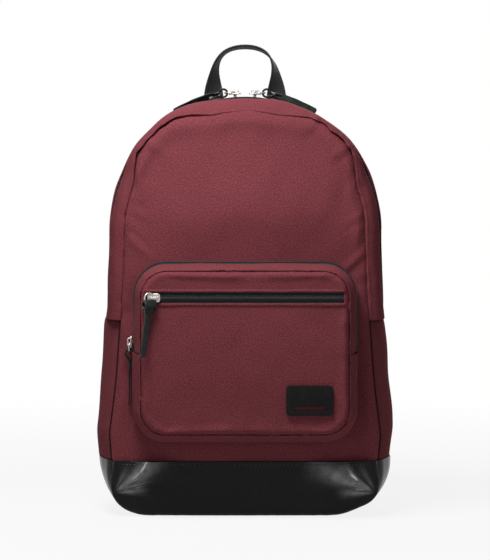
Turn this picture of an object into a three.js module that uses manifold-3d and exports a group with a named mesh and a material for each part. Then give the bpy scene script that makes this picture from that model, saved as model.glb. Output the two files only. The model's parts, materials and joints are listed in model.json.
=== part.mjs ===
// A city backpack with a two-way arched zip, a zipped front pocket, padded shoulder straps
// and a coated base. Millimetres, +Z up, the front faces -Y, the origin is under the base.
import * as THREE from "three";
import { mergeVertices } from "three/addons/utils/BufferGeometryUtils.js";
import Module from "manifold-3d";

const wasm = await Module();
wasm.setup();

// Body: the outline that the front view shows, and how deep the bag is
const archRadius = 142;
const archCentre = 294.5;
const widestHalfWidth = 155;
const widestHeight = 88;
const cornerHalfWidth = 152;
const cornerRadius = 52;
const frontDepth = 62;
const frontDepthAtTop = 50;
const taperStart = 200;
const backDepth = 60;
const frontInset = 18;
const backInset = 8;
const frontCrown = 11;
const fabricThickness = 2.4;
const coatedThickness = 2.8;
const backPadThickness = 8.7;
const seamGap = 0.3;

// Heights of the seams and of the folds
const baseLine = 57;
const mainZipEnd = 203;
const flapFold = 275;

// Zips: the tapes lie under the fabric's edges, and each carries half of the coil
const tapeHalfWidth = 11;
const tapeThickness = 0.8;
const coilInner = 0.8;
const coilOuter = 2.5;
const coilHeight = 1.5;
const coilRoot = 0.7;
const zipOpening = 6;
const mainTapeSink = fabricThickness + seamGap;

// Front pocket
const pocketHalfWidth = 116;
const pocketBottom = 80;
const pocketTop = 266;
const pocketTopRadius = 36;
const pocketBottomRadius = 34;
const pocketDepth = 36;
const pocketInset = 10;
const pocketCrown = 3;
const pocketCrownTop = 24;
const pocketCrownFull = 90;
const pocketFold = 172;
const pocketFabric = 2.2;
const pocketSeat = 0.5;
const pocketPanelEase = 0.4;
const pocketTapeSink = pocketFabric + seamGap;
const pocketZipCentre = 6.5;
const pocketTapeReach = 15;
const slashDrop = 36;
const slashHeight = pocketTop - slashDrop;
const slashHalfOpening = 5.6;
const slashTapeHalfWidth = 9;
const slashHalfLength = 101;
const slashLinerDepth = 7;
const slashLinerThickness = 1;
const slashLinerSetback = 4;
const slashLipLow = 6;
const slashLipHigh = 8;
const slashLip = 1.5;

// Sliders, their rings and the leather pulls
const wingHalfLength = 6.5;
const wingHalfWidth = 4.6;
const wingThickness = 1.2;
const lowerWingGap = 0.6;
const upperWingGap = 2.2;
const postHalfLength = 1.6;
const postHalfWidth = 0.4;
const bridgeHalfLength = 4.4;
const bridgeHalfWidth = 1.3;
const bridgeWall = 1.1;
const bridgeRoom = 2.4;
const ringRadius = 5.2;
const ringWireRadius = 0.8;
const pullLength = 55;
const pullHalfWidth = 3.5;
const pullNeckHalfWidth = 2.2;
const pullThickness = 1.8;
const pullEyeRadius = 1.9;
const pullEyeWall = 1.2;
const mainSliderAngle = 4.2;
const slashSliderX = -93;
const slashRingTilt = 28;
const pocketSliderHeight = 182;

// Haul handle
const handleHalfSpan = 33.5;
const handleTop = 489;
const handleWidth = 21;
const handleThickness = 2.2;
const handleY = 57.5;
const handleAnchorTop = 431;
const handleLegTop = 462;
const handleTwist = 62;

// Shoulder straps
const strapTop = new THREE.Vector3(45, 87, 378);
const strapBottom = new THREE.Vector3(106, 87, 56);
const strapBulge = 26;
const padShare = 0.72;
const padTopWidth = 62;
const padEndWidth = 44;
const padThickness = 12;
const rootThickness = 8;
const webbingWidth = 25;
const webbingThickness = 2;
const webbingTail = 90;
const wingRootWidth = 44;
const wingRootThickness = 3;
const lockWidth = 35;
const lockLength = 24;
const lockThickness = 4.4;
const lockBar = 3;
const lockStart = 12;

// Inside
const sleeveGap = 20;
const sleeveThickness = 5;
const sleeveTop = 300;
const stiffenerThickness = 3;
const liningClearance = 0.6;
const bindingWidth = 9;
const bindingThickness = 1.6;

// Lash patch on the pocket
const patchCentreX = 69;
const patchCentreZ = 119;
const patchHalfWidth = 24;
const patchHalfHeight = 15.5;
const patchThickness = 1.6;
const patchSeatGap = 0.8;
const patchSlotHalfLength = 17.5;
const patchSlotHalfHeight = 2;
const patchSlotDrop = 8.5;

const burgundy = { color: 0x642a30, roughness: 0.9, metalness: 0 };
const burgundyLining = { color: 0x3a1c20, roughness: 0.9, metalness: 0 };
const coated = { color: 0x141415, roughness: 0.3, metalness: 0 };
const blackTape = { color: 0x1c1c1d, roughness: 0.8, metalness: 0 };
const blackLeather = { color: 0x18191a, roughness: 0.45, metalness: 0 };
const blackMesh = { color: 0x202021, roughness: 0.95, metalness: 0 };
const nickel = { color: 0xc8c2b4, roughness: 0.25, metalness: 1 };
const blackPlastic = { color: 0x151515, roughness: 0.4, metalness: 0 };

const radians = THREE.MathUtils.degToRad;
const smooth = (low, high, value) => THREE.MathUtils.smoothstep(value, low, high);
const at = (value) => () => value;
const xAxis = new THREE.Vector3(1, 0, 0);
const yAxis = new THREE.Vector3(0, 1, 0);
const zAxis = new THREE.Vector3(0, 0, 1);
const bag = new THREE.Group();

function addPiece(name, geometry, finish, place = new THREE.Matrix4()) {
  const mesh = new THREE.Mesh(geometry, new THREE.MeshStandardMaterial(finish));
  mesh.name = name;
  mesh.applyMatrix4(place);
  bag.add(mesh);
}

// Turns corner triples into a geometry that faces outwards, without empty triangles.
function closedGeometry(triangles) {
  const same = (a, b) => a.distanceTo(b) < 1e-3;
  const kept = triangles.filter(([a, b, c]) => !same(a, b) && !same(b, c) && !same(c, a));
  const volume = kept.reduce((sum, [a, b, c]) => sum + a.dot(b.clone().cross(c)), 0);
  const facing = volume < 0 ? kept.map(([a, b, c]) => [a, c, b]) : kept;
  const corners = facing.flat().flatMap((p) => [p.x, p.y, p.z]);
  const geometry = new THREE.BufferGeometry();
  geometry.setAttribute("position", new THREE.Float32BufferAttribute(corners, 3));
  geometry.computeVertexNormals();
  return geometry;
}

// A sheet with thickness: two matching grids of points, joined round their rims.
function sheetBetween(outer, inner) {
  const triangles = [];
  const quad = (a, b, c, d) => triangles.push([a, b, c], [a, c, d]);
  const rows = outer.length - 1;
  const columns = outer[0].length - 1;
  for (let i = 0; i < rows; i++) {
    for (let j = 0; j < columns; j++) {
      quad(outer[i][j], outer[i + 1][j], outer[i + 1][j + 1], outer[i][j + 1]);
      quad(inner[i][j], inner[i][j + 1], inner[i + 1][j + 1], inner[i + 1][j]);
    }
    quad(outer[i][0], inner[i][0], inner[i + 1][0], outer[i + 1][0]);
    quad(outer[i + 1][columns], inner[i + 1][columns], inner[i][columns], outer[i][columns]);
  }
  for (let j = 0; j < columns; j++) {
    quad(outer[0][j + 1], inner[0][j + 1], inner[0][j], outer[0][j]);
    quad(outer[rows][j], inner[rows][j], inner[rows][j + 1], outer[rows][j + 1]);
  }
  return closedGeometry(triangles);
}

// A solid through a row of closed sections that all have the same number of points.
function loft(sections) {
  const triangles = [];
  const count = sections[0].length;
  for (let i = 0; i < sections.length - 1; i++) {
    for (let j = 0; j < count; j++) {
      const k = (j + 1) % count;
      triangles.push([sections[i][j], sections[i][k], sections[i + 1][k]]);
      triangles.push([sections[i][j], sections[i + 1][k], sections[i + 1][j]]);
    }
  }
  const last = sections.length - 1;
  for (let j = 1; j < count - 1; j++) {
    triangles.push([sections[0][0], sections[0][j + 1], sections[0][j]]);
    triangles.push([sections[last][0], sections[last][j], sections[last][j + 1]]);
  }
  return closedGeometry(triangles);
}

// A flat section with eased edges, width along one direction and thickness along the other.
function flatSection(centre, across, normal, width, thickness) {
  const corners = [
    [-0.5, -0.25], [-0.5, 0.25], [-0.42, 0.5], [0.42, 0.5],
    [0.5, 0.25], [0.5, -0.25], [0.42, -0.5], [-0.42, -0.5],
  ];
  return corners.map(([a, b]) =>
    centre.clone().addScaledVector(across, a * width).addScaledVector(normal, b * thickness));
}

// A flat strap along a path. Its width follows a direction, its ends may be cut to a given one.
function strapAlong(path, across, widthAt, thickness, firstTangent, lastTangent) {
  const last = path.length - 1;
  return loft(path.map((point, i) => {
    let tangent = path[Math.min(i + 1, last)].clone().sub(path[Math.max(i - 1, 0)]);
    if (i === 0 && firstTangent) tangent = firstTangent.clone();
    if (i === last && lastTangent) tangent = lastTangent.clone();
    tangent.normalize();
    const flat = across.clone().addScaledVector(tangent, -across.dot(tangent)).normalize();
    const normal = tangent.clone().cross(flat).normalize();
    return flatSection(point, flat, normal, widthAt(i / last), thickness);
  }));
}

function solidOf(geometry) {
  const bare = geometry.clone();
  bare.deleteAttribute("normal");
  bare.deleteAttribute("uv");
  const merged = mergeVertices(bare, 1e-4);
  const vertProperties = new Float32Array(merged.attributes.position.array);
  const triVerts = new Uint32Array(merged.index.array);
  return new wasm.Manifold(new wasm.Mesh({ numProp: 3, vertProperties, triVerts }));
}

function geometryOf(solid) {
  const mesh = solid.getMesh();
  const geometry = new THREE.BufferGeometry();
  const positions = [];
  for (const vertex of mesh.triVerts) {
    const first = vertex * mesh.numProp;
    positions.push(...mesh.vertProperties.slice(first, first + 3));
  }
  geometry.setAttribute("position", new THREE.Float32BufferAttribute(positions, 3));
  geometry.computeVertexNormals();
  return geometry;
}

const join = (...parts) => geometryOf(parts.map(solidOf).reduce((a, b) => a.add(b)));

function block(x0, x1, y0, y1, z0, z1) {
  const box = new THREE.BoxGeometry(x1 - x0, y1 - y0, z1 - z0);
  return box.translate((x0 + x1) / 2, (y0 + y1) / 2, (z0 + z1) / 2);
}

const extruded = (shape, depth, curveSegments = 4) =>
  new THREE.ExtrudeGeometry(shape, { depth, bevelEnabled: false, curveSegments });

// A rounded rectangle, as a shape or as a hole.
function roundedShape(halfWidth, halfHeight, radius, centreX = 0, centreY = 0, Kind = THREE.Shape) {
  const shape = new Kind();
  const x = halfWidth - radius;
  const y = halfHeight - radius;
  const quarter = Math.PI / 2;
  shape.absarc(centreX + x, centreY + y, radius, 0, quarter);
  shape.absarc(centreX - x, centreY + y, radius, quarter, 2 * quarter);
  shape.absarc(centreX - x, centreY - y, radius, 2 * quarter, 3 * quarter);
  shape.absarc(centreX + x, centreY - y, radius, 3 * quarter, 4 * quarter);
  shape.closePath();
  return shape;
}

// Half width of the outline between the base's corners and the arch.
function sideHalfWidth(z) {
  if (z < widestHeight) {
    const swell = widestHalfWidth - cornerHalfWidth;
    return cornerHalfWidth + swell * smooth(cornerRadius, widestHeight, z);
  }
  const share = (archCentre - z) / (archCentre - widestHeight);
  return archRadius + (widestHalfWidth - archRadius) * share ** 1.5;
}

// Half of the outline, from under the middle of the base, up the right side, to the top.
function halfOutline() {
  const points = [];
  const arc = (cx, cz, radius, from, to, steps) => {
    for (let k = 0; k <= steps; k++) {
      const turn = radians(from + ((to - from) * k) / steps);
      const [nx, nz] = [Math.cos(turn), Math.sin(turn)];
      points.push({ x: cx + radius * nx, z: cz + radius * nz, nx, nz });
    }
  };
  const cornerX = cornerHalfWidth - cornerRadius;
  for (const share of [0, 0.35, 0.7]) points.push({ x: cornerX * share, z: 0, nx: 0, nz: -1 });
  arc(cornerX, cornerRadius, cornerRadius, -90, 0, 6);
  for (const z of [baseLine, 72, widestHeight, 112, 142, 172, mainZipEnd, 240, flapFold]) {
    points.push({ x: sideHalfWidth(z), z, nx: 1, nz: 0 });
  }
  arc(0, archCentre, archRadius, 0, 90, 18);
  return points;
}
const stations = halfOutline();
const stationAt = (z) => stations.findIndex((s) => s.z === z);
const mirror = (s) => ({ ...s, x: -s.x, nx: -s.nx });
const sidePart = (from, to) => stations.slice(stationAt(from), stationAt(to) + 1);
const archFrom = (z) => {
  const half = stations.slice(stationAt(z));
  return [...half, ...half.slice(0, -1).reverse().map(mirror)];
};

const frontSeam = (z) =>
  frontDepth - (frontDepth - frontDepthAtTop) * smooth(taperStart, archCentre + archRadius, z);

// A point of the bag's skin at a station of the outline, at depth y and some way inwards.
// The base stays flat, so that only its sides narrow towards the front and the back.
function skinPoint(station, y, inwards = 0) {
  const share = y < 0 ? y / frontSeam(station.z) : y / backDepth;
  const inset = (y < 0 ? frontInset : backInset) * share * share;
  const sideways = inset + inwards;
  const upwards = station.nz < 0 ? inwards : sideways;
  return new THREE.Vector3(station.x - station.nx * sideways, y, station.z - station.nz * upwards);
}

// A strip of the skin between two depths, which may change along the outline.
function skinStrip(along, yFrom, yTo, thickness, sink = 0, columns = 4) {
  const grid = (inwards) => along.map((s) =>
    Array.from({ length: columns + 1 }, (_, j) => {
      const share = j / columns;
      return skinPoint(s, yFrom(s.z) * (1 - share) + yTo(s.z) * share, inwards);
    }));
  return sheetBetween(grid(sink), grid(sink + thickness));
}
const frontRim = (z) => -frontSeam(z);

// Moves the ends of a strip along the outline, so that it stops short of its neighbours.
function trimmed(along, gap = seamGap) {
  const moved = (a, b) => {
    const share = gap / Math.hypot(b.x - a.x, b.z - a.z);
    return { ...a, x: a.x + (b.x - a.x) * share, z: a.z + (b.z - a.z) * share };
  };
  const last = along.length - 1;
  return along.map((s, i) => {
    if (i === 0) return moved(s, along[1]);
    return i === last ? moved(s, along[last - 1]) : s;
  });
}

// A ribbon with a rectangular section; pointOf gives a point at a distance and a height.
function ribbon(along, pointOf, from, to, low, high) {
  const corners = [[from, low], [to, low], [to, high], [from, high]];
  return loft(along.map((s) => corners.map(([distance, height]) => pointOf(s, distance, height))));
}

// One side of a zip: the tape and, on its inner edge, half of the coil.
function zipSide(along, pointOf, sign, tapeReach = tapeHalfWidth) {
  const tape = ribbon(along, pointOf, sign * coilInner, sign * tapeReach, -tapeThickness, 0);
  const coil = ribbon(along, pointOf, sign * coilInner, sign * coilOuter, -coilRoot, coilHeight);
  return join(tape, coil);
}

const mainZipPoint = (s, distance, height) => skinPoint(s, distance, mainTapeSink - height);

// Half width of a line of seam points at a height.
function halfWidthOn(line, z) {
  const k = Math.max(1, line.findIndex((p, i) => i > 0 && line[i - 1].z <= z && p.z >= z));
  const [a, b] = [line[k - 1], line[k]];
  return b.z === a.z ? b.x : a.x + ((b.x - a.x) * (z - a.z)) / (b.z - a.z);
}
const tiny = 0.001;
const seamLine = stations.map((s) => skinPoint(s, -frontSeam(s.z)));
const seamTop = seamLine[seamLine.length - 1].z;
const seamHalfWidth = (z) => halfWidthOn(seamLine, Math.max(tiny, Math.min(z, seamTop)));

// Depth of the front panel's face: flat at its seam and crowned in the middle.
function frontFace(x, z) {
  const across = Math.min(1, Math.abs(x) / Math.max(seamHalfWidth(z), 1));
  const rise = (1 - across ** 2.5) * smooth(-20, 90, z) * smooth(0, 130, seamTop - z);
  return -frontSeam(z) - seamGap - fabricThickness - frontCrown * rise;
}

// A panel made of level rows that reach from side to side.
function panelRows(heights, halfWidth, face, thickness, columns) {
  const grid = (inwards) => heights.map((z) =>
    Array.from({ length: columns + 1 }, (_, j) => {
      const x = halfWidth(z) * (2 * (j / columns) - 1);
      return new THREE.Vector3(x, face(x, z) + inwards, z);
    }));
  return sheetBetween(grid(0), grid(thickness));
}
const heightsBetween = (line, low, high) =>
  [low, ...line.map((p) => p.z).filter((z) => z > low + 1 && z < high - 1), high];

function addFront() {
  const panel = (low, high) =>
    panelRows(heightsBetween(seamLine, low, high), seamHalfWidth, frontFace, fabricThickness, 12);
  addPiece("base_front_panel", panel(0, baseLine), coated);
  addPiece("front_panel_lower", panel(baseLine + seamGap, flapFold - seamGap), burgundy);
  addPiece("front_panel_upper", panel(flapFold, seamTop), burgundy);
}

function addGussets() {
  const half = stations.slice(0, stationAt(baseLine) + 1);
  const underside = [...half.slice(1).reverse().map(mirror), ...half];
  const base = skinStrip(underside, frontRim, at(backDepth), coatedThickness, 0, 6);
  addPiece("base_gusset", base, coated);
  const zipEdge = at(-zipOpening);
  for (const [side, turned] of [["right", (s) => s], ["left", mirror]]) {
    const lower = trimmed(sidePart(baseLine, mainZipEnd).map(turned));
    const panel = skinStrip(lower, frontRim, at(backDepth), fabricThickness, 0, 6);
    addPiece(`side_panel_${side}`, panel, burgundy);
    const foot = trimmed(sidePart(mainZipEnd, flapFold).map(turned), seamGap / 2);
    addPiece(`gusset_front_foot_${side}`, skinStrip(foot, frontRim, zipEdge, fabricThickness), burgundy);
    const tape = ribbon(foot, mainZipPoint, -tapeHalfWidth, tapeHalfWidth, -tapeThickness, 0);
    const coil = ribbon(foot, mainZipPoint, -coilOuter, coilOuter, -coilRoot, coilHeight);
    addPiece(`main_zip_foot_${side}`, join(tape, coil), blackTape);
  }
  const upper = trimmed(archFrom(flapFold), seamGap / 2);
  const whole = trimmed(archFrom(mainZipEnd), seamGap / 2);
  addPiece("gusset_front_upper", skinStrip(upper, frontRim, zipEdge, fabricThickness), burgundy);
  addPiece("gusset_rear", skinStrip(whole, at(zipOpening), at(backDepth), fabricThickness), burgundy);
  addPiece("main_zip_front", zipSide(upper, mainZipPoint, -1), blackTape);
  addPiece("main_zip_rear", zipSide(upper, mainZipPoint, 1), blackTape);
}

const backLine = stations.map((s) => skinPoint(s, backDepth));
const backTop = backLine[backLine.length - 1].z;
const backHalfWidth = (z) => halfWidthOn(backLine, Math.max(tiny, Math.min(z, backTop)));
const backFace = backDepth + seamGap + backPadThickness;

function addBack() {
  const rows = heightsBetween(backLine, 0, backTop);
  const panel = panelRows(rows, backHalfWidth, at(backDepth + seamGap), backPadThickness, 8);
  addPiece("back_panel", panel, blackMesh);
  const sink = coatedThickness + seamGap;
  const [from, to] = [at(backDepth - bindingWidth), at(backDepth)];
  const binding = skinStrip(archFrom(baseLine), from, to, bindingThickness, sink, 1);
  addPiece("back_seam_binding", binding, blackTape);
}

function addInside() {
  const sleeveFront = backDepth - sleeveGap - sleeveThickness;
  const floorLow = coatedThickness + seamGap;
  const floorHigh = floorLow + stiffenerThickness;
  const wall = coatedThickness + liningClearance;
  const wallLine = stations.map((s) => skinPoint(s, sleeveFront + sleeveThickness, wall));
  const heights = [floorHigh + seamGap, 22, 40, baseLine, 140, mainZipEnd, flapFold, sleeveTop];
  const reach = (z) => halfWidthOn(wallLine, z);
  const sleeve = panelRows(heights, reach, at(sleeveFront), sleeveThickness, 2);
  addPiece("laptop_sleeve", sleeve, burgundyLining);
  const boardHalfWidth = cornerHalfWidth - cornerRadius;
  const boardFront = -frontDepth + seamGap;
  const board = block(-boardHalfWidth, boardHalfWidth, boardFront, backDepth - seamGap, floorLow, floorHigh);
  addPiece("base_stiffener", board, blackPlastic);
  const strapFrom = sleeveFront + sleeveThickness + seamGap;
  const [strapHalfWidth, strapHigh] = [12, sleeveTop - 10];
  const strap = block(-strapHalfWidth, strapHalfWidth, strapFrom, backDepth, strapHigh - 2, strapHigh);
  addPiece("laptop_strap", strap, blackTape);
}

// The pocket's plan as an open run of points: its upper part or its lower part.
function pocketRun(upper) {
  const points = [];
  const radius = upper ? pocketTopRadius : pocketBottomRadius;
  const level = upper ? pocketTop - radius : pocketBottom + radius;
  const sign = upper ? 1 : -1;
  const fold = upper ? pocketFold : pocketFold - seamGap;
  for (const z of [fold, (fold + level) / 2]) points.push({ x: pocketHalfWidth, z, nx: 1, nz: 0 });
  for (let k = 0; k <= 6; k++) {
    const turn = radians(15 * k);
    const [nx, nz] = [Math.cos(turn), sign * Math.sin(turn)];
    points.push({ x: pocketHalfWidth - radius + radius * nx, z: level + radius * nz, nx, nz });
  }
  const flat = pocketHalfWidth - radius;
  for (const share of [0.5, 0]) {
    points.push({ x: flat * share, z: level + sign * radius, nx: 0, nz: sign });
  }
  return [...points, ...points.slice(0, -1).reverse().map(mirror)];
}

const pocketRoot = (x, z) => frontFace(x, z) - pocketSeat;
const pocketSeamY = frontFace(0, pocketFold) - pocketDepth;
const pocketReach = (s) => pocketRoot(s.x, s.z) - pocketSeamY;

// A point of the pocket's side: how far out from the front panel, and how far inwards.
function pocketPoint(station, outwards, inwards) {
  const share = Math.min(1, outwards / pocketReach(station));
  const inset = pocketInset * share * share + inwards;
  const [x, z] = [station.x - station.nx * inset, station.z - station.nz * inset];
  return new THREE.Vector3(x, pocketRoot(station.x, station.z) - outwards, z);
}
const pocketZipPoint = (s, distance, height) =>
  pocketPoint(s, pocketZipCentre + distance, pocketTapeSink - height);

function pocketBand(run, from, columns) {
  const grid = (inwards) => run.map((s) =>
    Array.from({ length: columns + 1 }, (_, j) =>
      pocketPoint(s, from + (pocketReach(s) - from) * (j / columns), inwards)));
  return sheetBetween(grid(0), grid(pocketFabric));
}

function pocketFaceHalfWidth(z) {
  const reach = pocketHalfWidth - pocketInset;
  const rounded = (radius, away) => {
    const inner = radius - pocketInset;
    return reach - inner + Math.sqrt(Math.max(0, inner * inner - away * away));
  };
  const upperLevel = pocketTop - pocketTopRadius;
  const lowerLevel = pocketBottom + pocketBottomRadius;
  if (z > upperLevel) return rounded(pocketTopRadius, z - upperLevel);
  if (z < lowerLevel) return rounded(pocketBottomRadius, lowerLevel - z);
  return reach;
}

const pocketFaceTop = pocketTop - pocketInset;
const pocketFaceBottom = pocketBottom + pocketInset;
function pocketFace(x, z) {
  const across = Math.min(1, Math.abs(x) / pocketFaceHalfWidth(z));
  const fall = smooth(pocketCrownTop, pocketCrownFull, pocketFaceTop - z);
  const rise = smooth(0, 60, z - pocketFaceBottom) * fall;
  return pocketSeamY - seamGap - pocketFabric - pocketCrown * (1 - across ** 3) * rise;
}

const slashTapeFace = (x, z) => pocketFace(x, z) + pocketTapeSink;
const slashZipPoint = (x, distance, height) => {
  const z = slashHeight + distance;
  return new THREE.Vector3(x, slashTapeFace(x, z) - height, z);
};

function addPocket() {
  const upper = pocketRun(true);
  const lower = pocketRun(false);
  const rearReach = pocketZipCentre - seamGap;
  const frontReach = pocketTapeReach - pocketZipCentre;
  addPiece("pocket_zip_rear", zipSide(upper, pocketZipPoint, -1, rearReach), blackTape);
  addPiece("pocket_zip_front", zipSide(upper, pocketZipPoint, 1, frontReach), blackTape);
  addPiece("pocket_gusset_upper", pocketBand(upper, pocketZipCentre + zipOpening, 3), burgundy);
  addPiece("pocket_gusset_lower", pocketBand(lower, 0, 4), burgundy);

  const slashLow = slashHeight - slashHalfOpening;
  const slashHigh = slashHeight + slashHalfOpening;
  const face = (...heights) =>
    panelRows(heights, pocketFaceHalfWidth, pocketFace, pocketFabric, 10);
  const rimHigh = pocketFaceTop - pocketPanelEase;
  const rimLow = pocketFaceBottom + pocketPanelEase;
  addPiece("pocket_panel_top", face(slashHigh, 242, 248, 252, rimHigh), burgundy);
  addPiece("pocket_panel_middle", face(pocketFold, 190, 208, slashLow), burgundy);
  const lowerRows = [rimLow, 93, 97, 104, 114, 130, 150, pocketFold - seamGap];
  addPiece("pocket_panel_lower", face(...lowerRows), burgundy);

  const steps = Array.from({ length: 9 }, (_, k) => slashHalfLength * (k / 4 - 1));
  addPiece("slash_zip_upper", zipSide(steps, slashZipPoint, 1, slashTapeHalfWidth), blackTape);
  addPiece("slash_zip_lower", zipSide(steps, slashZipPoint, -1, slashTapeHalfWidth), blackTape);
  addLiner();
}

// The bag behind the slash zip: its lips reach forwards to the two tapes.
function addLiner() {
  const floor = pocketFold + 3;
  const wall = slashLinerThickness;
  const front = pocketSeamY + slashLinerSetback;
  const back = front + slashLinerDepth;
  const lip = slashTapeFace(slashHalfLength, slashHeight) + tapeThickness + seamGap;
  const low = slashHeight - slashLipLow;
  const high = slashHeight + slashLipHigh;
  const outline = [
    [lip, low], [lip, low - slashLip], [front, low - slashLip], [front, floor], [back, floor],
    [back, high], [lip, high], [lip, high - slashLip], [back - wall, high - slashLip],
    [back - wall, floor + wall], [front + wall, floor + wall], [front + wall, low],
  ];
  const section = new THREE.Shape(outline.map(([y, z]) => new THREE.Vector2(y, z)));
  const width = 2 * (slashHalfLength - 6);
  const turned = new THREE.Matrix4().makeBasis(yAxis, zAxis, xAxis);
  const liner = extruded(section, width).applyMatrix4(turned);
  addPiece("slash_pocket_liner", liner.translate(-width / 2, 0, 0), burgundyLining);
}

function addPatch() {
  const plate = roundedShape(patchHalfWidth, patchHalfHeight, 4);
  const slotRound = patchSlotHalfHeight - 0.1;
  const slot = roundedShape(
    patchSlotHalfLength, patchSlotHalfHeight, slotRound, 0, -patchSlotDrop, THREE.Path);
  plate.holes.push(slot);
  const faceAt = (a, b) =>
    pocketFace(patchCentreX + a * patchHalfWidth, patchCentreZ + b * patchHalfHeight);
  const slope = Math.atan2(faceAt(1, 0) - faceAt(-1, 0), 2 * patchHalfWidth);
  const lean = Math.atan2(faceAt(0, 1) - faceAt(0, -1), 2 * patchHalfHeight);
  const seat = pocketFace(patchCentreX, patchCentreZ) - patchSeatGap;
  const place = new THREE.Matrix4()
    .makeTranslation(patchCentreX, seat, patchCentreZ)
    .multiply(new THREE.Matrix4().makeRotationZ(slope))
    .multiply(new THREE.Matrix4().makeRotationX(Math.PI / 2 - lean));
  addPiece("lash_patch", extruded(plate, patchThickness), blackLeather, place);
}

// A slider in its own frame: x along the zip, y across it, z out of the bag, the tape at z 0.
const lowerWingTop = -tapeThickness - lowerWingGap;
const upperWingLow = coilHeight + upperWingGap;
const upperWingTop = upperWingLow + wingThickness;
const ringLevel = upperWingTop + bridgeRoom / 2;

function sliderBody() {
  const wing = (low) => {
    const shape = roundedShape(wingHalfLength, wingHalfWidth, wingHalfWidth * 0.6);
    return extruded(shape, wingThickness).translate(0, 0, low);
  };
  const bite = 0.3;
  const [length, width] = [postHalfLength, postHalfWidth];
  const post = block(-length, length, -width, width, lowerWingTop - bite, upperWingLow + bite);
  const foot = upperWingTop - bite;
  const roof = upperWingTop + bridgeRoom;
  const outer = bridgeHalfLength;
  const room = outer - bridgeWall;
  const ease = 0.8;
  const arch = new THREE.Shape();
  arch.moveTo(-outer, foot);
  arch.lineTo(-room, foot);
  arch.lineTo(-room, roof - ease);
  arch.lineTo(-room + ease, roof);
  arch.lineTo(room - ease, roof);
  arch.lineTo(room, roof - ease);
  arch.lineTo(room, foot);
  arch.lineTo(outer, foot);
  arch.lineTo(outer, roof);
  arch.lineTo(outer - bridgeWall, roof + bridgeWall);
  arch.lineTo(-outer + bridgeWall, roof + bridgeWall);
  arch.lineTo(-outer, roof);
  arch.closePath();
  const bridge = extruded(arch, 2 * bridgeHalfWidth).translate(0, 0, -bridgeHalfWidth);
  return join(wing(lowerWingTop - wingThickness), post, wing(upperWingLow), bridge.rotateX(Math.PI / 2));
}

// The ring lies towards -x and its near side runs through the bridge.
const ringBody = () =>
  new THREE.TorusGeometry(ringRadius, ringWireRadius, 8, 24).translate(-ringRadius, 0, ringLevel);
const ringReach = 2 * ringRadius;

// A pull hangs from an eye at its own origin and runs along -x; rise gives its height there.
function pullBody(rise) {
  const eye = new THREE.Shape();
  eye.absarc(0, 0, pullEyeRadius + pullEyeWall, 0, 2 * Math.PI);
  const hole = new THREE.Path();
  hole.absarc(0, 0, pullEyeRadius, 0, 2 * Math.PI);
  eye.holes.push(hole);
  const loop = extruded(eye, 2 * pullNeckHalfWidth, 10).translate(0, 0, -pullNeckHalfWidth);
  const start = pullEyeRadius + pullEyeWall / 2;
  const path = Array.from({ length: 9 }, (_, k) => {
    const x = start + ((pullLength - start) * k) / 8;
    return new THREE.Vector3(-x, 0, rise(x));
  });
  const swell = pullHalfWidth - pullNeckHalfWidth;
  const width = (t) => 2 * (pullNeckHalfWidth + swell * smooth(0.03, 0.22, t));
  return join(loop.rotateX(Math.PI / 2), strapAlong(path, yAxis, width, pullThickness));
}

function frameFrom(origin, along, out) {
  const across = out.clone().cross(along).normalize();
  return new THREE.Matrix4().makeBasis(along, across, out).setPosition(origin);
}

const shifted = (x, y, z) => new THREE.Matrix4().makeTranslation(x, y, z);

// Adds a slider and its ring at a frame, and its pull at the ring's far side.
function addSlider(name, place, rise) {
  addPiece(`${name}_slider`, sliderBody(), nickel, place);
  addPiece(`${name}_ring`, ringBody(), nickel, place);
  const eye = place.clone().multiply(shifted(-ringReach, 0, ringLevel));
  addPiece(`${name}_pull`, pullBody(rise), blackLeather, eye);
}

function addMainSliders() {
  const tapeRadius = archRadius - mainTapeSink;
  const ringCircle = tapeRadius + ringLevel;
  const pullDrop = ringLevel - upperWingLow - seamGap;
  for (const [side, turn] of [["left", -1], ["right", 1]]) {
    const angle = radians(mainSliderAngle);
    const out = new THREE.Vector3(turn * Math.sin(angle), 0, Math.cos(angle));
    const along = new THREE.Vector3(-turn * Math.cos(angle), 0, Math.sin(angle));
    const origin = out.clone().multiplyScalar(tapeRadius).add(new THREE.Vector3(0, 0, archCentre));
    const rise = (x) => {
      const reach = ringReach + x;
      const followed = Math.sqrt(ringCircle * ringCircle - reach * reach) - ringCircle;
      return followed - pullDrop * smooth(0, 25, x);
    };
    addSlider(`main_${side}`, frameFrom(origin, along, out), rise);
  }
}

function addPocketSliders() {
  const onLeft = (z) => pocketZipPoint({ x: -pocketHalfWidth, z, nx: -1, nz: 0 }, 0, 0);
  const start = onLeft(pocketSliderHeight);
  const along = onLeft(pocketTop - pocketTopRadius).sub(start).normalize();
  const sidewards = along.clone().cross(yAxis).normalize();
  addSlider("pocket", frameFrom(start, along, sidewards), at(0));

  // The slash zip's ring is tilted up, so that its pull hangs clear of the slider.
  const forwards = yAxis.clone().negate();
  const slash = frameFrom(slashZipPoint(slashSliderX, 0, 0), xAxis, forwards);
  const tilt = new THREE.Matrix4().makeRotationY(radians(slashRingTilt));
  const tilted = slash.clone().multiply(shifted(0, 0, ringLevel)).multiply(tilt);
  tilted.multiply(shifted(0, 0, -ringLevel));
  addPiece("slash_slider", sliderBody(), nickel, slash);
  addPiece("slash_ring", ringBody(), nickel, tilted);
  const lowest = new THREE.Vector3(-ringRadius, -ringRadius, ringLevel).applyMatrix4(tilted);
  const out = new THREE.Vector3().setFromMatrixColumn(tilted, 2);
  addPiece("slash_pull", pullBody(at(0)), blackLeather, frameFrom(lowest, zAxis, out));
}

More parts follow.
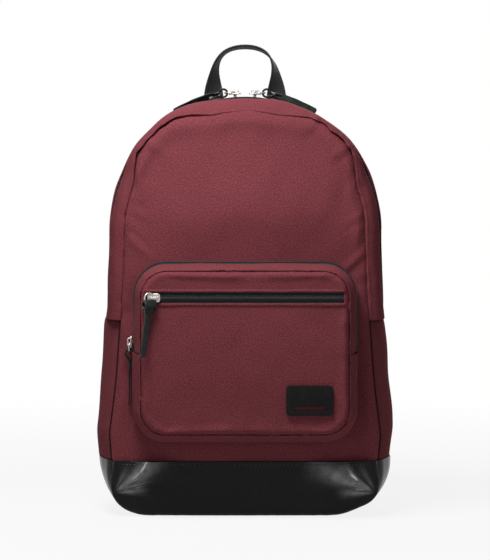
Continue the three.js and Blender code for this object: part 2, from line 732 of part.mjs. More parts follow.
function addHandle() {
  const half = handleThickness / 2;
  const pivot = handleAnchorTop + seamGap + half;
  const arch = handleTop - half - handleLegTop;
  const sections = [];
  // The twist turns the webbing's width from across the bag to along it.
  const add = (x, z, twist, lean, thickness = handleThickness) => {
    const tangent = new THREE.Vector3(Math.sin(lean), 0, Math.cos(lean));
    const outward = new THREE.Vector3(Math.cos(lean), 0, -Math.sin(lean));
    const across = outward.multiplyScalar(Math.cos(twist)).addScaledVector(yAxis, Math.sin(twist));
    const normal = tangent.cross(across).normalize();
    const centre = new THREE.Vector3(x, handleY, z);
    sections.push(flatSection(centre, across, normal, handleWidth, thickness));
  };
  const legTwist = (z) => radians(handleTwist * smooth(pivot + 4, handleLegTop, z));
  const legHeights = [0, 6, 12, 19, 25].map((rise) => pivot + rise);
  const [endDrop, endThickness] = [half * 0.8, handleThickness * 0.6];
  add(-handleHalfSpan, pivot - endDrop, 0, 0, endThickness);
  for (const z of legHeights) add(-handleHalfSpan, z, legTwist(z), 0);
  const steps = 16;
  for (let k = 1; k < steps; k++) {
    const turn = Math.PI * (k / steps);
    const [c, s] = [Math.cos(turn), Math.sin(turn)];
    const raised = 90 - (90 - handleTwist) * c * c;
    const twist = radians(c > 0 ? raised : 180 - raised);
    const lean = Math.atan2(handleHalfSpan * s, arch * c);
    add(-handleHalfSpan * c, handleLegTop + arch * s, twist, lean);
  }
  for (const z of legHeights.reverse()) add(handleHalfSpan, z, Math.PI - legTwist(z), Math.PI);
  add(handleHalfSpan, pivot - endDrop, Math.PI, Math.PI, endThickness);
  addPiece("haul_handle", loft(sections), blackTape);

  const skinRadius = archRadius - backInset * (handleY / backDepth) ** 2;
  const under = (x) => archCentre + Math.sqrt(skinRadius * skinRadius - x * x) + 3 * seamGap;
  const [near, far] = [handleHalfSpan - handleWidth / 2, handleHalfSpan + handleWidth / 2];
  for (const [side, turn] of [["right", 1], ["left", -1]]) {
    const tab = new THREE.Shape();
    tab.moveTo(turn * near, under(near));
    tab.lineTo(turn * far, under(far));
    tab.lineTo(turn * far, handleAnchorTop);
    tab.lineTo(turn * near, handleAnchorTop);
    tab.closePath();
    const anchor = extruded(tab, handleThickness).rotateX(Math.PI / 2);
    addPiece(`handle_anchor_${side}`, anchor.translate(0, handleY + half, 0), blackTape);
  }
}

// The middle line of webbing that turns round a bar: [along the strap, away from it].
function aroundBar(edge, sign) {
  const half = lockThickness / 2;
  const bend = seamGap + webbingThickness / 2;
  const diagonal = bend * Math.SQRT1_2;
  const side = [[edge, half + bend], [edge + sign * diagonal, half + diagonal], [edge + sign * bend, half]];
  return [...side.map(([along, away]) => [along, -away]), ...side.reverse()];
}

// One shoulder strap: the padded part, the buckle and the webbing between two fixed anchors.
function addStrap(side, turn) {
  const flip = (v) => new THREE.Vector3(turn * v.x, v.y, v.z);
  const top = flip(strapTop);
  const bottom = flip(strapBottom);
  const axis = bottom.clone().sub(top).normalize();
  const upAxis = axis.clone().negate();
  const line = (share) => {
    const point = top.clone().lerp(bottom, share);
    point.y += strapBulge * Math.sin(Math.PI * share) ** 2;
    return point;
  };
  const padSteps = 14;
  const padPath = Array.from({ length: padSteps + 1 }, (_, k) => line((padShare * k) / padSteps));
  const padWidth = (t) => padTopWidth + (padEndWidth - padTopWidth) * smooth(0.2, 1, t);
  addPiece(`strap_pad_${side}`, strapAlong(padPath, xAxis, padWidth, padThickness, axis), blackMesh);

  const padEnd = line(padShare);
  const down = padEnd.clone().sub(line(padShare - padShare / padSteps)).normalize();
  const aside = xAxis.clone().addScaledVector(down, -xAxis.dot(down)).normalize();
  const out = down.clone().cross(aside).normalize();
  if (out.y < 0) out.negate();
  const local = ([along, away]) =>
    padEnd.clone().addScaledVector(down, along).addScaledVector(out, away);

  const opening = (lockLength - 3 * lockBar) / 2;
  const plate = roundedShape(lockWidth / 2, lockLength / 2, 3);
  for (const sign of [-1, 1]) {
    const slotHalfWidth = webbingWidth / 2 + 1.2;
    const slotCentre = sign * (lockBar + opening) / 2;
    plate.holes.push(roundedShape(slotHalfWidth, opening / 2, 1, 0, slotCentre, THREE.Path));
  }
  const lock = extruded(plate, lockThickness, 3).translate(0, 0, -lockThickness / 2);
  const lockPlace = new THREE.Matrix4().makeBasis(aside, down, aside.clone().cross(down));
  lockPlace.setPosition(local([lockStart + lockLength / 2, 0]));
  addPiece(`ladder_lock_${side}`, lock, blackPlastic, lockPlace);

  const wrap = lockThickness / 2 + webbingThickness / 2 + seamGap;
  const width = at(webbingWidth);
  const loopEnd = seamGap + 0.2;
  const loopPath = [[loopEnd, -wrap], ...aroundBar(lockStart + lockBar, 1), [loopEnd, wrap]].map(local);
  const loop = strapAlong(loopPath, aside, width, webbingThickness, down, down.clone().negate());
  addPiece(`buckle_loop_${side}`, loop, blackTape);

  const lastBar = lockStart + lockLength - lockBar;
  const lowest = [1, 0.97, 0.94, 0.91, 0.88].map(line);
  const through = [
    [lastBar + lockBar + 6, -wrap], ...aroundBar(lastBar, -1), [lastBar + 10, wrap + 1.5],
    [lastBar + webbingTail / 2, wrap + 12], [lastBar + webbingTail, wrap + 22],
  ].map(local);
  const webbing = strapAlong([...lowest, ...through], aside, width, webbingThickness, upAxis);
  addPiece(`lower_webbing_${side}`, webbing, blackTape);

  const rootPath = [
    new THREE.Vector3(top.x, backFace + seamGap, top.z + 17),
    new THREE.Vector3(top.x, backFace + 6, top.z + 17),
    new THREE.Vector3(top.x, backFace + 13, top.z + 13.5),
    new THREE.Vector3(top.x, top.y - 0.4, top.z + 8),
    top.clone().addScaledVector(axis, -seamGap),
  ];
  const root = strapAlong(rootPath, xAxis, at(padTopWidth - 2), rootThickness, yAxis, axis);
  addPiece(`strap_root_${side}`, root, blackTape);

  const wingFoot = backFace + seamGap + wingRootThickness / 2;
  const wingPath = [
    new THREE.Vector3(bottom.x + 2 * turn, wingFoot, bottom.z - 36),
    new THREE.Vector3(bottom.x + 2 * turn, wingFoot + 3, bottom.z - 26),
    new THREE.Vector3(bottom.x + turn, wingFoot + 10, bottom.z - 12),
    bottom.clone().addScaledVector(axis, seamGap),
  ];
  const wingWidth = (t) => wingRootWidth + (webbingWidth - wingRootWidth) * t;
  const wing = strapAlong(wingPath, xAxis, wingWidth, wingRootThickness, zAxis, upAxis);
  addPiece(`strap_wing_${side}`, wing, burgundy);
}

addFront();
addGussets();
addBack();
addInside();
addPocket();
addPatch();
addMainSliders();
addPocketSliders();
addHandle();
addStrap("right", 1);
addStrap("left", -1);

export default bag;
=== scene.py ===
import json
from bisect import bisect_left
from math import atan2, cos, exp, hypot, pi, radians, sin, sqrt

import bmesh
import bpy
from mathutils import Matrix, Vector, noise

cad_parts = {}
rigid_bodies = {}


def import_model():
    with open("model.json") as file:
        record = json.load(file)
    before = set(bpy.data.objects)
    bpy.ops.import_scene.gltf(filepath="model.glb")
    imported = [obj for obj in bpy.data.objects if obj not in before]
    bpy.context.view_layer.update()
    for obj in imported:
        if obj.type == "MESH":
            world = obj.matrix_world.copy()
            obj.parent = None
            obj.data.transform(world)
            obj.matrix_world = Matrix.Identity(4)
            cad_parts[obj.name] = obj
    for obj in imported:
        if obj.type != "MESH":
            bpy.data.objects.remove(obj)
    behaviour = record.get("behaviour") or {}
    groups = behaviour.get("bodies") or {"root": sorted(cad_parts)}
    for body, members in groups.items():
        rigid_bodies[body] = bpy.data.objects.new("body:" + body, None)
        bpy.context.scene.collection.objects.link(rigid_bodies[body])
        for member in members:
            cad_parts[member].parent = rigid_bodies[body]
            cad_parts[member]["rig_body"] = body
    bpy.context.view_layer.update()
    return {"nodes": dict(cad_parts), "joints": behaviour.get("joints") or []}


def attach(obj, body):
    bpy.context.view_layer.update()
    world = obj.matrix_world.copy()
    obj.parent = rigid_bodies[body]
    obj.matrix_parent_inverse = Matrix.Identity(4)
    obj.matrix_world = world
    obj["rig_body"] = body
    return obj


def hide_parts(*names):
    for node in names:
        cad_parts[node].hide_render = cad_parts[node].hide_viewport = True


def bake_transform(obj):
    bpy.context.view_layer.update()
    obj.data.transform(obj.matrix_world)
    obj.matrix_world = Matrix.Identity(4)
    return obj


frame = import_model()
metre = 0.001
weldDistance = 0.00001

# The bag's own sizes, as its solids have them
bag = {
    "archRadius": 142,
    "archCentre": 294.5,
    "widest": 155,
    "widestHeight": 88,
    "cornerWidth": 152,
    "cornerRadius": 52,
    "frontDepth": 62,
    "frontDepthAtTop": 50,
    "taperStart": 200,
    "backDepth": 60,
    "frontInset": 18,
    "backInset": 8,
    "crown": 11,
    "baseLine": 57,
    "zipEnd": 203,
    "fold": 275,
    "foldY": -72.85,
    "seamGap": 0.3,
    "fabric": 2.4,
}
pocket = {
    "halfWidth": 116,
    "bottom": 80,
    "top": 266,
    "topRadius": 36,
    "bottomRadius": 34,
    "depth": 36,
    "inset": 10,
    "crown": 3,
    "fold": 172,
    "foldY": -117.14,
    "seat": 0.5,
    "fabric": 2.2,
    "faceGap": 0.3,
    "zipCentre": 6.5,
    "zipInset": 1.3,
    "openStart": 5.0,
    "sunk": 3.2,
    "rearTape": 5.6,
    "frontTape": 7.6,
    "seamTape": 6.5,
    "cloth": 1.4,
    "middle": (0, -92, 172),
    "slash": 230,
    "slashHalfOpening": 5.6,
    "slashHalfLength": 101,
    "slashTape": 8.8,
}


def smooth(low, high, value):
    share = min(1, max(0, (value - low) / (high - low)))
    return share * share * (3 - 2 * share)


def mix(a, b, share):
    return a + (b - a) * share


# Values at equal steps from low to high, both ends included
def evenly(low, high, steps):
    return [mix(low, high, k / steps) for k in range(steps + 1)]


# Gentle, repeatable unevenness between about -1 and 1
def wobble(x, y, seed):
    return noise.noise(Vector((x, y, 7.31 * seed + 0.5))) * 1.6


# Makers of meshes
def deselectAll():
    if bpy.context.object and bpy.context.object.mode != "OBJECT":
        bpy.ops.object.mode_set(mode="OBJECT")
    bpy.ops.object.select_all(action="DESELECT")


def activate(piece):
    deselectAll()
    piece.select_set(True)
    bpy.context.view_layer.objects.active = piece


def applyModifiers(piece):
    activate(piece)
    for modifier in list(piece.modifiers):
        bpy.ops.object.modifier_apply(modifier=modifier.name)


# A sheet gets a wall on its inner side
def thicken(piece, thickness):
    wall = piece.modifiers.new("wall", "SOLIDIFY")
    wall.thickness = thickness * metre
    wall.offset = -1
    wall.use_rim = True
    applyModifiers(piece)


def soften(piece):
    surface = piece.modifiers.new("soften", "SUBSURF")
    surface.levels = 1
    surface.render_levels = 1
    applyModifiers(piece)


# A wall for a sheet that is laid, and then rounder faces
def sewn(piece, thickness):
    thicken(piece, thickness)
    soften(piece)


def easeEdges(piece, width, angle, segments):
    bevel = piece.modifiers.new("ease", "BEVEL")
    bevel.width = width * metre
    bevel.segments = segments
    bevel.limit_method = "ANGLE"
    bevel.angle_limit = radians(angle)
    applyModifiers(piece)


def startEdit(piece):
    activate(piece)
    bpy.ops.object.mode_set(mode="EDIT")
    bpy.ops.mesh.select_all(action="SELECT")


def endEdit():
    bpy.ops.object.mode_set(mode="OBJECT")


def closeSeams(piece, outwards=True):
    startEdit(piece)
    bpy.ops.mesh.remove_doubles(threshold=weldDistance)
    if outwards:
        bpy.ops.mesh.normals_make_consistent(inside=False)
    endEdit()


# A grid laid over a surface: place(u, v) gives a point for u and v from 0 to 1.
# The weave's own map runs in metres along the middle row and column, or over x and z where flat.
def layCloth(name, columns, rows, place, inside=None, flat=False):
    deselectAll()
    bpy.ops.mesh.primitive_grid_add(x_subdivisions=columns, y_subdivisions=rows, size=1)
    piece = bpy.context.object
    piece.name = name
    piece.data.name = name
    shares = [(v.co.x + 0.5, v.co.y + 0.5) for v in piece.data.vertices]
    for vertex, (u, v) in zip(piece.data.vertices, shares):
        vertex.co = Vector(place(u, v)) * metre
    lengths = []
    for count, across in ((columns, True), (rows, False)):
        run = [0]
        last = None
        for k in range(count + 1):
            point = Vector(place(k / count, 0.5) if across else place(0.5, k / count))
            if last is not None:
                run.append(run[-1] + (point - last).length * metre)
            last = point
        lengths.append(run)
    layer = piece.data.uv_layers.active.data
    for loop in piece.data.loops:
        u, v = shares[loop.vertex_index]
        if flat:
            co = piece.data.vertices[loop.vertex_index].co
            layer[loop.index].uv = (co.x, co.z)
        else:
            along = lengths[0][min(columns, round(u * columns))]
            up = lengths[1][min(rows, round(v * rows))]
            layer[loop.index].uv = (along, up)
    if inside is not None:
        centre = Vector(inside) * metre
        facing = sum(p.normal.dot(p.center - centre) * p.area for p in piece.data.polygons)
        if facing < 0:
            piece.data.flip_normals()
    return piece


# One small shape copied to many places, as one mesh
def scatter(name, shape, places):
    mesh = bpy.data.meshes.new(name)
    whole = bmesh.new()
    single = bmesh.new()
    single.from_mesh(shape.data)
    pattern = [v.co.copy() for v in single.verts]
    faces = [[v.index for v in f.verts] for f in single.faces]
    for place in places:
        verts = [whole.verts.new(place @ co) for co in pattern]
        for face in faces:
            whole.faces.new([verts[k] for k in face])
    whole.to_mesh(mesh)
    whole.free()
    single.free()
    bpy.data.objects.remove(shape)
    piece = bpy.data.objects.new(name, mesh)
    bpy.context.scene.collection.objects.link(piece)
    return piece


# A frame at a point: x runs along, z points out. Everything in millimetres.
def frameAt(origin, along, out):
    x = Vector(along).normalized()
    z = Vector(out)
    z = (z - x * z.dot(x)).normalized()
    y = z.cross(x)
    turned = Matrix((x, y, z)).transposed().to_4x4()
    return Matrix.Translation(Vector(origin) * metre) @ turned


def joinPieces(name, pieces):
    activate(pieces[0])
    for piece in pieces[1:]:
        piece.select_set(True)
    bpy.ops.object.join()
    joined = bpy.context.object
    joined.name = name
    joined.data.name = name
    return joined


def shade(piece, angle):
    activate(piece)
    if angle is None:
        bpy.ops.object.shade_smooth()
    else:
        bpy.ops.object.shade_smooth_by_angle(angle=radians(angle))


# The look of a piece, the solids it stands for, and the body it moves with
def dress(piece, material, replaced=(), body=None, angle=None):
    piece.data.materials.clear()
    piece.data.materials.append(material)
    shade(piece, angle)
    if replaced:
        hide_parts(*replaced)
    if body:
        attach(piece, body)
    return piece


# Materials
def node(tree, kind, **values):
    made = tree.nodes.new("ShaderNode" + kind)
    for key, value in values.items():
        if key in made.inputs:
            made.inputs[key].default_value = value
        else:
            setattr(made, key, value)
    return made


def startMaterial(name, **values):
    material = bpy.data.materials.new(name)
    material.use_nodes = True
    tree = material.node_tree
    shader = tree.nodes["Principled BSDF"]
    for key, value in values.items():
        shader.inputs[key.replace("_", " ")].default_value = value
    return material, tree, shader


def link(tree, start, end):
    tree.links.new(start, end)


def objectPlace(tree):
    return node(tree, "TexCoord").outputs["Object"]


# The two directions of a piece's own map, together and apart
def ownMap(tree):
    uv = node(tree, "UVMap").outputs[0]
    split = node(tree, "SeparateXYZ")
    link(tree, uv, split.inputs[0])
    return uv, split.outputs[0], split.outputs[1]


def feed(tree, shader, colour, rough, normal):
    link(tree, colour, shader.inputs["Base Color"])
    link(tree, rough, shader.inputs["Roughness"])
    link(tree, normal, shader.inputs["Normal"])


def maths(tree, operation, a, b=None, c=None):
    made = node(tree, "Math", operation=operation)
    for socket, value in zip(made.inputs, (a, b, c)):
        if value is None:
            continue
        if isinstance(value, (int, float)):
            socket.default_value = value
        else:
            link(tree, value, socket)
    return made.outputs[0]


# Two values, each times its own weight, added up
def weighted(tree, a, weightA, b, weightB):
    return maths(tree, "ADD", maths(tree, "MULTIPLY", a, weightA), maths(tree, "MULTIPLY", b, weightB))


def blendColours(tree, factor, a, b):
    made = node(tree, "Mix", data_type="RGBA", blend_type="MIX")
    for socket, value in ((made.inputs[0], factor), (made.inputs[6], a), (made.inputs[7], b)):
        if isinstance(value, (int, float)):
            socket.default_value = value
        elif isinstance(value, tuple):
            socket.default_value = (*value, 1)
        else:
            link(tree, value, socket)
    return made.outputs[2]


def ranged(tree, value, low, high, toLow, toHigh):
    made = node(tree, "MapRange")
    link(tree, value, made.inputs[0])
    for socket, number in zip(list(made.inputs)[1:5], (low, high, toLow, toHigh)):
        socket.default_value = number
    return made.outputs[0]


def bumpFrom(tree, height, strength, distance, below=None):
    made = node(tree, "Bump", Strength=strength, Distance=distance)
    link(tree, height, made.inputs["Height"])
    if below is not None:
        link(tree, below, made.inputs["Normal"])
    return made.outputs[0]


def scaled(tree, vector, x, y):
    made = node(tree, "Mapping")
    link(tree, vector, made.inputs["Vector"])
    made.inputs["Scale"].default_value = (x, y, 1)
    return made.outputs[0]


def noiseOf(tree, vector, scale, detail, roughness=0.5):
    made = node(tree, "TexNoise", Scale=scale, Detail=detail, Roughness=roughness)
    link(tree, vector, made.inputs["Vector"])
    return made.outputs[0]


# Woven cloth: warp and weft yarns of slightly different dye, with slubs, over its own map
weaving = {"threads": 1500, "fleck": 0.62, "roughness": 0.86, "gloss": 0.03}


def clothMaterial(name, warp, weft, shadow, flecks):
    rough = weaving["roughness"]
    material, tree, shader = startMaterial(name, Roughness=rough, Specular_IOR_Level=weaving["gloss"])
    uv, u, v = ownMap(tree)
    place = objectPlace(tree)
    turns = pi * weaving["threads"]
    warpWave = maths(tree, "SINE", maths(tree, "MULTIPLY", u, turns))
    weftWave = maths(tree, "SINE", maths(tree, "MULTIPLY", v, turns))
    weave = maths(tree, "MULTIPLY", warpWave, weftWave)
    over = ranged(tree, weave, -0.6, 0.6, 0, 1)
    warpSlub = noiseOf(tree, scaled(tree, uv, 1700, 420), 1.0, 2)
    weftSlub = noiseOf(tree, scaled(tree, uv, 420, 1700), 1.0, 2)
    slub = weighted(tree, warpSlub, 0.5, weftSlub, 0.5)
    heather = ranged(tree, slub, 0.38, 0.62, 0, 1)
    yarns = blendColours(tree, over, warp, weft)
    flecked = blendColours(tree, maths(tree, "MULTIPLY", heather, weaving["fleck"]), yarns, shadow)
    patches = ranged(tree, noiseOf(tree, place, 11, 3), 0.3, 0.7, 0.0, 0.16)
    coloured = blendColours(tree, patches, flecked, shadow)
    grain = ranged(tree, noiseOf(tree, uv, 880, 2, 0.7), 0.36, 0.64, 0.0, 0.62)
    coloured = blendColours(tree, grain, coloured, shadow)
    pale = ranged(tree, noiseOf(tree, scaled(tree, uv, 1.1, 0.9), 760, 2, 0.7), 0.5, 0.72, 0.0, 0.5)
    coloured = blendColours(tree, pale, coloured, flecks)
    dull = ranged(tree, heather, 0, 1, rough - 0.06, rough + 0.06)
    height = weighted(tree, weave, 0.5, slub, 0.6)
    puckers = bumpFrom(tree, noiseOf(tree, place, 60, 3), 0.12, 0.002)
    feed(tree, shader, coloured, dull, bumpFrom(tree, height, 0.35, 0.00025, puckers))
    return material


# Coated base: glossy polyurethane with a fine pebble and soft creases
coating = {"roughness": 0.22, "pebble": 900, "coatRoughness": 0.16, "coatBend": 1.9}


def coatedMaterial(name, colour, worn):
    rough = coating["roughness"]
    material, tree, shader = startMaterial(
        name, Roughness=rough, Coat_Roughness=coating["coatRoughness"], Coat_IOR=coating["coatBend"])
    place = objectPlace(tree)
    broad = noiseOf(tree, place, 18, 3)
    fine = noiseOf(tree, place, 240, 3, 0.6)
    wear = ranged(tree, maths(tree, "MULTIPLY", broad, fine), 0.22, 0.5, 0, 1)
    dull = ranged(tree, broad, 0.3, 0.7, rough - 0.03, rough + 0.07)
    # Painted highlights: an attribute raises the gloss and the coat in streaks along the folds, so that the
    # bright surroundings show in them as highlights
    highlightMask = node(tree, "Attribute", attribute_name="highlightMask").outputs["Fac"]
    uneven = ranged(tree, noiseOf(tree, place, 130, 4, 0.6), 0.3, 0.62, 0.45, 1.0)
    highlightGloss = maths(tree, "MULTIPLY", highlightMask, uneven)
    link(tree, maths(tree, "MULTIPLY_ADD", highlightGloss, 0.7, 0.12), shader.inputs["Specular IOR Level"])
    link(tree, highlightGloss, shader.inputs["Coat Weight"])
    cells = node(tree, "TexVoronoi", feature="SMOOTH_F1", Scale=coating["pebble"], Smoothness=0.6)
    link(tree, place, cells.inputs["Vector"])
    creases = bumpFrom(tree, noiseOf(tree, place, 55, 4, 0.45), 0.1, 0.0015)
    pebbled = bumpFrom(tree, cells.outputs[0], 0.16, 0.0003, creases)
    feed(tree, shader, blendColours(tree, wear, colour, worn), dull, pebbled)
    return material


# Webbing and tape: ribs along it, crossed by finer rows, in both directions of its own map
taping = {"roughness": 0.62, "sheen": 0.03, "gloss": 0.14}


def webbingMaterial(name, colour, lit, ribs=420, rows=1100):
    rough = taping["roughness"]
    material, tree, shader = startMaterial(
        name, Roughness=rough, Sheen_Weight=taping["sheen"], Specular_IOR_Level=taping["gloss"])
    uv, u, v = ownMap(tree)
    ribWave = maths(tree, "SINE", maths(tree, "MULTIPLY", v, 2 * pi * ribs))
    pickWave = maths(tree, "SINE", weighted(tree, u, 2 * pi * rows, ribWave, 1.2))
    height = weighted(tree, ribWave, 0.7, pickWave, 0.5)
    fuzz = noiseOf(tree, uv, 700, 3, 0.6)
    light = ranged(tree, maths(tree, "ADD", height, maths(tree, "MULTIPLY", fuzz, 1.5)), -0.6, 2.2, 0, 1)
    dull = ranged(tree, fuzz, 0.3, 0.7, rough - 0.05, rough + 0.08)
    feed(tree, shader, blendColours(tree, light, colour, lit), dull, bumpFrom(tree, height, 0.5, 0.0003))
    return material


# Leather of the pulls and the patch
def leatherMaterial(name, colour, worn, rough, gloss):
    material, tree, shader = startMaterial(name, Roughness=rough, Specular_IOR_Level=gloss)
    place = objectPlace(tree)
    cells = node(tree, "TexVoronoi", feature="SMOOTH_F1", Scale=1500, Smoothness=0.5)
    link(tree, place, cells.inputs["Vector"])
    mottled = noiseOf(tree, place, 160, 4, 0.6)
    wear = ranged(tree, mottled, 0.42, 0.75, 0, 1)
    dull = ranged(tree, mottled, 0.3, 0.7, rough - 0.08, rough + 0.1)
    creases = bumpFrom(tree, mottled, 0.25, 0.0006)
    grain = bumpFrom(tree, cells.outputs[0], 0.3, 0.0002, creases)
    feed(tree, shader, blendColours(tree, wear, colour, worn), dull, grain)
    return material


# Spacer mesh: rows of small open cells, with painted shade inside them
def meshMaterial(name, colour, cellShade):
    material, tree, shader = startMaterial(name, Roughness=0.9, Sheen_Weight=0.15, Specular_IOR_Level=0.3)
    uv = node(tree, "UVMap").outputs[0]
    cells = node(tree, "TexVoronoi", feature="F1", Scale=380, Randomness=0.12)
    link(tree, uv, cells.inputs["Vector"])
    # Painted shade: the open cells take a near-black colour for the shade in their depth
    shadedCell = ranged(tree, cells.outputs[0], 0.12, 0.42, 1, 0)
    fuzz = noiseOf(tree, uv, 900, 3, 0.6)
    thread = blendColours(tree, ranged(tree, fuzz, 0.3, 0.7, 0, 0.5), colour, (0.045, 0.045, 0.047))
    dull = ranged(tree, fuzz, 0.3, 0.7, 0.82, 0.95)
    height = ranged(tree, cells.outputs[0], 0.1, 0.5, 0, 1)
    shown = blendColours(tree, shadedCell, thread, cellShade)
    feed(tree, shader, shown, dull, bumpFrom(tree, height, 0.7, 0.0008))
    return material


def metalMaterial(name, colour, tarnish):
    material, tree, shader = startMaterial(name, Metallic=1.0, Roughness=0.24)
    place = objectPlace(tree)
    smudge = noiseOf(tree, place, 320, 4, 0.6)
    shown = blendColours(tree, ranged(tree, smudge, 0.4, 0.75, 0, 0.6), colour, tarnish)
    dull = ranged(tree, smudge, 0.3, 0.7, 0.18, 0.34)
    feed(tree, shader, shown, dull, bumpFrom(tree, noiseOf(tree, place, 1200, 2), 0.06, 0.0001))
    return material


def plasticMaterial(name, colour, scuffed, rough=0.4, gloss=0.2):
    material, tree, shader = startMaterial(name, Roughness=rough, Specular_IOR_Level=gloss)
    place = objectPlace(tree)
    scuffs = noiseOf(tree, place, 210, 4, 0.65)
    shown = blendColours(tree, ranged(tree, scuffs, 0.5, 0.8, 0, 1), colour, scuffed)
    dull = ranged(tree, scuffs, 0.3, 0.7, rough - 0.06, rough + 0.12)
    feed(tree, shader, shown, dull, bumpFrom(tree, noiseOf(tree, place, 1600, 2), 0.12, 0.0001))
    return material


burgundyCloth = clothMaterial(
    "burgundyCloth", warp=(0.235, 0.052, 0.064), weft=(0.175, 0.037, 0.046),
    shadow=(0.078, 0.016, 0.020), flecks=(0.250, 0.098, 0.112))
liningCloth = clothMaterial(
    "liningCloth", warp=(0.045, 0.016, 0.019), weft=(0.034, 0.012, 0.015),
    shadow=(0.018, 0.007, 0.009), flecks=(0.05, 0.025, 0.028))
coatedBase = coatedMaterial("coatedBase", (0.0038, 0.0039, 0.0042), (0.008, 0.008, 0.0085))
handleWebbing = webbingMaterial("handleWebbing", (0.0085, 0.0085, 0.009), (0.03, 0.03, 0.031))
zipTape = webbingMaterial("zipTape", (0.010, 0.010, 0.0105), (0.024, 0.024, 0.025), ribs=900, rows=1500)
zipCoil = plasticMaterial("zipCoil", (0.007, 0.007, 0.0073), (0.014, 0.014, 0.0145), 0.3, 0.4)
pullLeather = leatherMaterial("pullLeather", (0.0045, 0.005, 0.005), (0.016, 0.017, 0.0165), 0.34, 0.16)
patchLeather = leatherMaterial("patchLeather", (0.0035, 0.0035, 0.0038), (0.009, 0.009, 0.0095), 0.5, 0.1)
spacerMesh = meshMaterial("spacerMesh", (0.022, 0.022, 0.023), (0.004, 0.004, 0.004))
nickel = metalMaterial("nickel", (0.46, 0.44, 0.40), (0.24, 0.22, 0.19))
blackPlastic = plasticMaterial("blackPlastic", (0.012, 0.012, 0.012), (0.022, 0.022, 0.022))
burgundyThread = leatherMaterial("burgundyThread", (0.30, 0.085, 0.10), (0.36, 0.13, 0.14), 0.6, 0.1)
blackThread = leatherMaterial("blackThread", (0.05, 0.05, 0.05), (0.09, 0.09, 0.09), 0.6, 0.1)
print("materials ready")


# The bag's outline
def sideHalfWidth(z):
    if z < bag["widestHeight"]:
        swell = bag["widest"] - bag["cornerWidth"]
        return bag["cornerWidth"] + swell * smooth(bag["cornerRadius"], bag["widestHeight"], z)
    share = (bag["archCentre"] - z) / (bag["archCentre"] - bag["widestHeight"])
    return bag["archRadius"] + (bag["widest"] - bag["archRadius"]) * share ** 1.5


# The right half from under the middle to the top: x, z, the way out, and the distance run
def outlineRun():
    run = []
    cornerX = bag["cornerWidth"] - bag["cornerRadius"]
    steps = 40
    for k in range(steps):
        run.append((cornerX * k / steps, 0, 0, -1))
    for k in range(steps + 1):
        turn = -pi / 2 * (1 - k / steps)
        x, z = cos(turn), sin(turn)
        run.append((cornerX + bag["cornerRadius"] * x, bag["cornerRadius"] * (1 + z), x, z))
    for k in range(1, 3 * steps):
        z = mix(bag["cornerRadius"], bag["archCentre"], k / (3 * steps))
        run.append((sideHalfWidth(z), z, 1, 0))
    for k in range(2 * steps + 1):
        turn = pi / 2 * k / (2 * steps)
        x, z = cos(turn), sin(turn)
        run.append((bag["archRadius"] * x, bag["archCentre"] + bag["archRadius"] * z, x, z))
    return run


outline = outlineRun()
distances = [0]
for before, after in zip(outline, outline[1:]):
    distances.append(distances[-1] + hypot(after[0] - before[0], after[1] - before[1]))
halfLength = distances[-1]


# A station of the outline at a distance from under the middle, to the left where it is negative
def stationAt(distance):
    far = abs(distance)
    if far > halfLength:
        x, z, nx, nz = stationAt(2 * halfLength - far)
        station = (-x, z, -nx, nz)
    else:
        k = min(len(outline) - 2, max(0, bisect_left(distances, far) - 1))
        share = (far - distances[k]) / max(1e-9, distances[k + 1] - distances[k])
        station = tuple(mix(a, b, share) for a, b in zip(outline[k], outline[k + 1]))
    x, z, nx, nz = station
    return (-x, z, -nx, nz) if distance < 0 else station


# The distance at which the right side of the outline reaches a height
def distanceOf(z):
    for k, (x, height, nx, nz) in enumerate(outline):
        if height >= z and x > 60:
            low = outline[k - 1]
            share = (z - low[1]) / max(1e-9, height - low[1])
            return mix(distances[k - 1], distances[k], share)
    return halfLength


# Stations from the right side at a height, over the top, to the left side
def archStation(height, share):
    start = distanceOf(height)
    return stationAt(mix(start, 2 * halfLength - start, share))


def frontSeam(z):
    fall = smooth(bag["taperStart"], bag["archCentre"] + bag["archRadius"], z)
    return bag["frontDepth"] - (bag["frontDepth"] - bag["frontDepthAtTop"]) * fall


# A place on the plain shape of the bag, or some way out of it
def skinPoint(station, y, outwards=0):
    x, z, nx, nz = station
    share = y / frontSeam(z) if y < 0 else y / bag["backDepth"]
    inset = (bag["frontInset"] if y < 0 else bag["backInset"]) * share * share
    sideways = inset - outwards
    upwards = -outwards if nz < 0 else sideways
    return (x - nx * sideways, y, z - nz * upwards)


seamLine = [skinPoint(s, -frontSeam(s[1])) for s in outline]
seamTop = seamLine[-1][2]


def seamHalfWidth(z):
    z = min(max(z, 0.001), seamTop)
    for a, b in zip(seamLine, seamLine[1:]):
        if a[2] <= z <= b[2] and b[2] > a[2]:
            return mix(a[0], b[0], (z - a[2]) / (b[2] - a[2]))
    return seamLine[-1][0]


def frontFace(x, z):
    across = min(1, abs(x) / max(seamHalfWidth(z), 1))
    rise = (1 - across ** 2.5) * smooth(-20, 90, z) * smooth(0, 130, seamTop - z)
    return -frontSeam(z) - bag["seamGap"] - bag["fabric"] - bag["crown"] * rise


# How the stuffed cloth differs from the plain outline: full shoulders, a sunk top, a lower right
# shoulder, puffed sides, gathers at the seams, a belly above the pocket, and the sides turned to the front
looks = {
    "shoulder": 3.6, "topSag": 4.0, "sidePuff": 1.6, "pucker": 1.25, "rightDrop": 2.6,
    "turnedRight": 6.0, "turnedLeft": 3.2, "belly": 6.4, "bellyHeight": 318,
}
# Short creases that start at the front seam: x and z of the start, direction in degrees, length, rise
seamCreases = (
    (117, 346, 122, 38, 1.9), (106, 383, 215, 32, 1.5), (121, 272, 222, 44, 1.7), (120, 312, 205, 30, 1.0),
    (-116, 347, 60, 40, 1.9), (-103, 391, 322, 34, 1.7), (-121, 290, 318, 40, 1.4),
    (-119, 318, 340, 30, 1.0), (76, 416, 236, 30, 1.6), (-70, 421, 300, 26, 1.1),
)


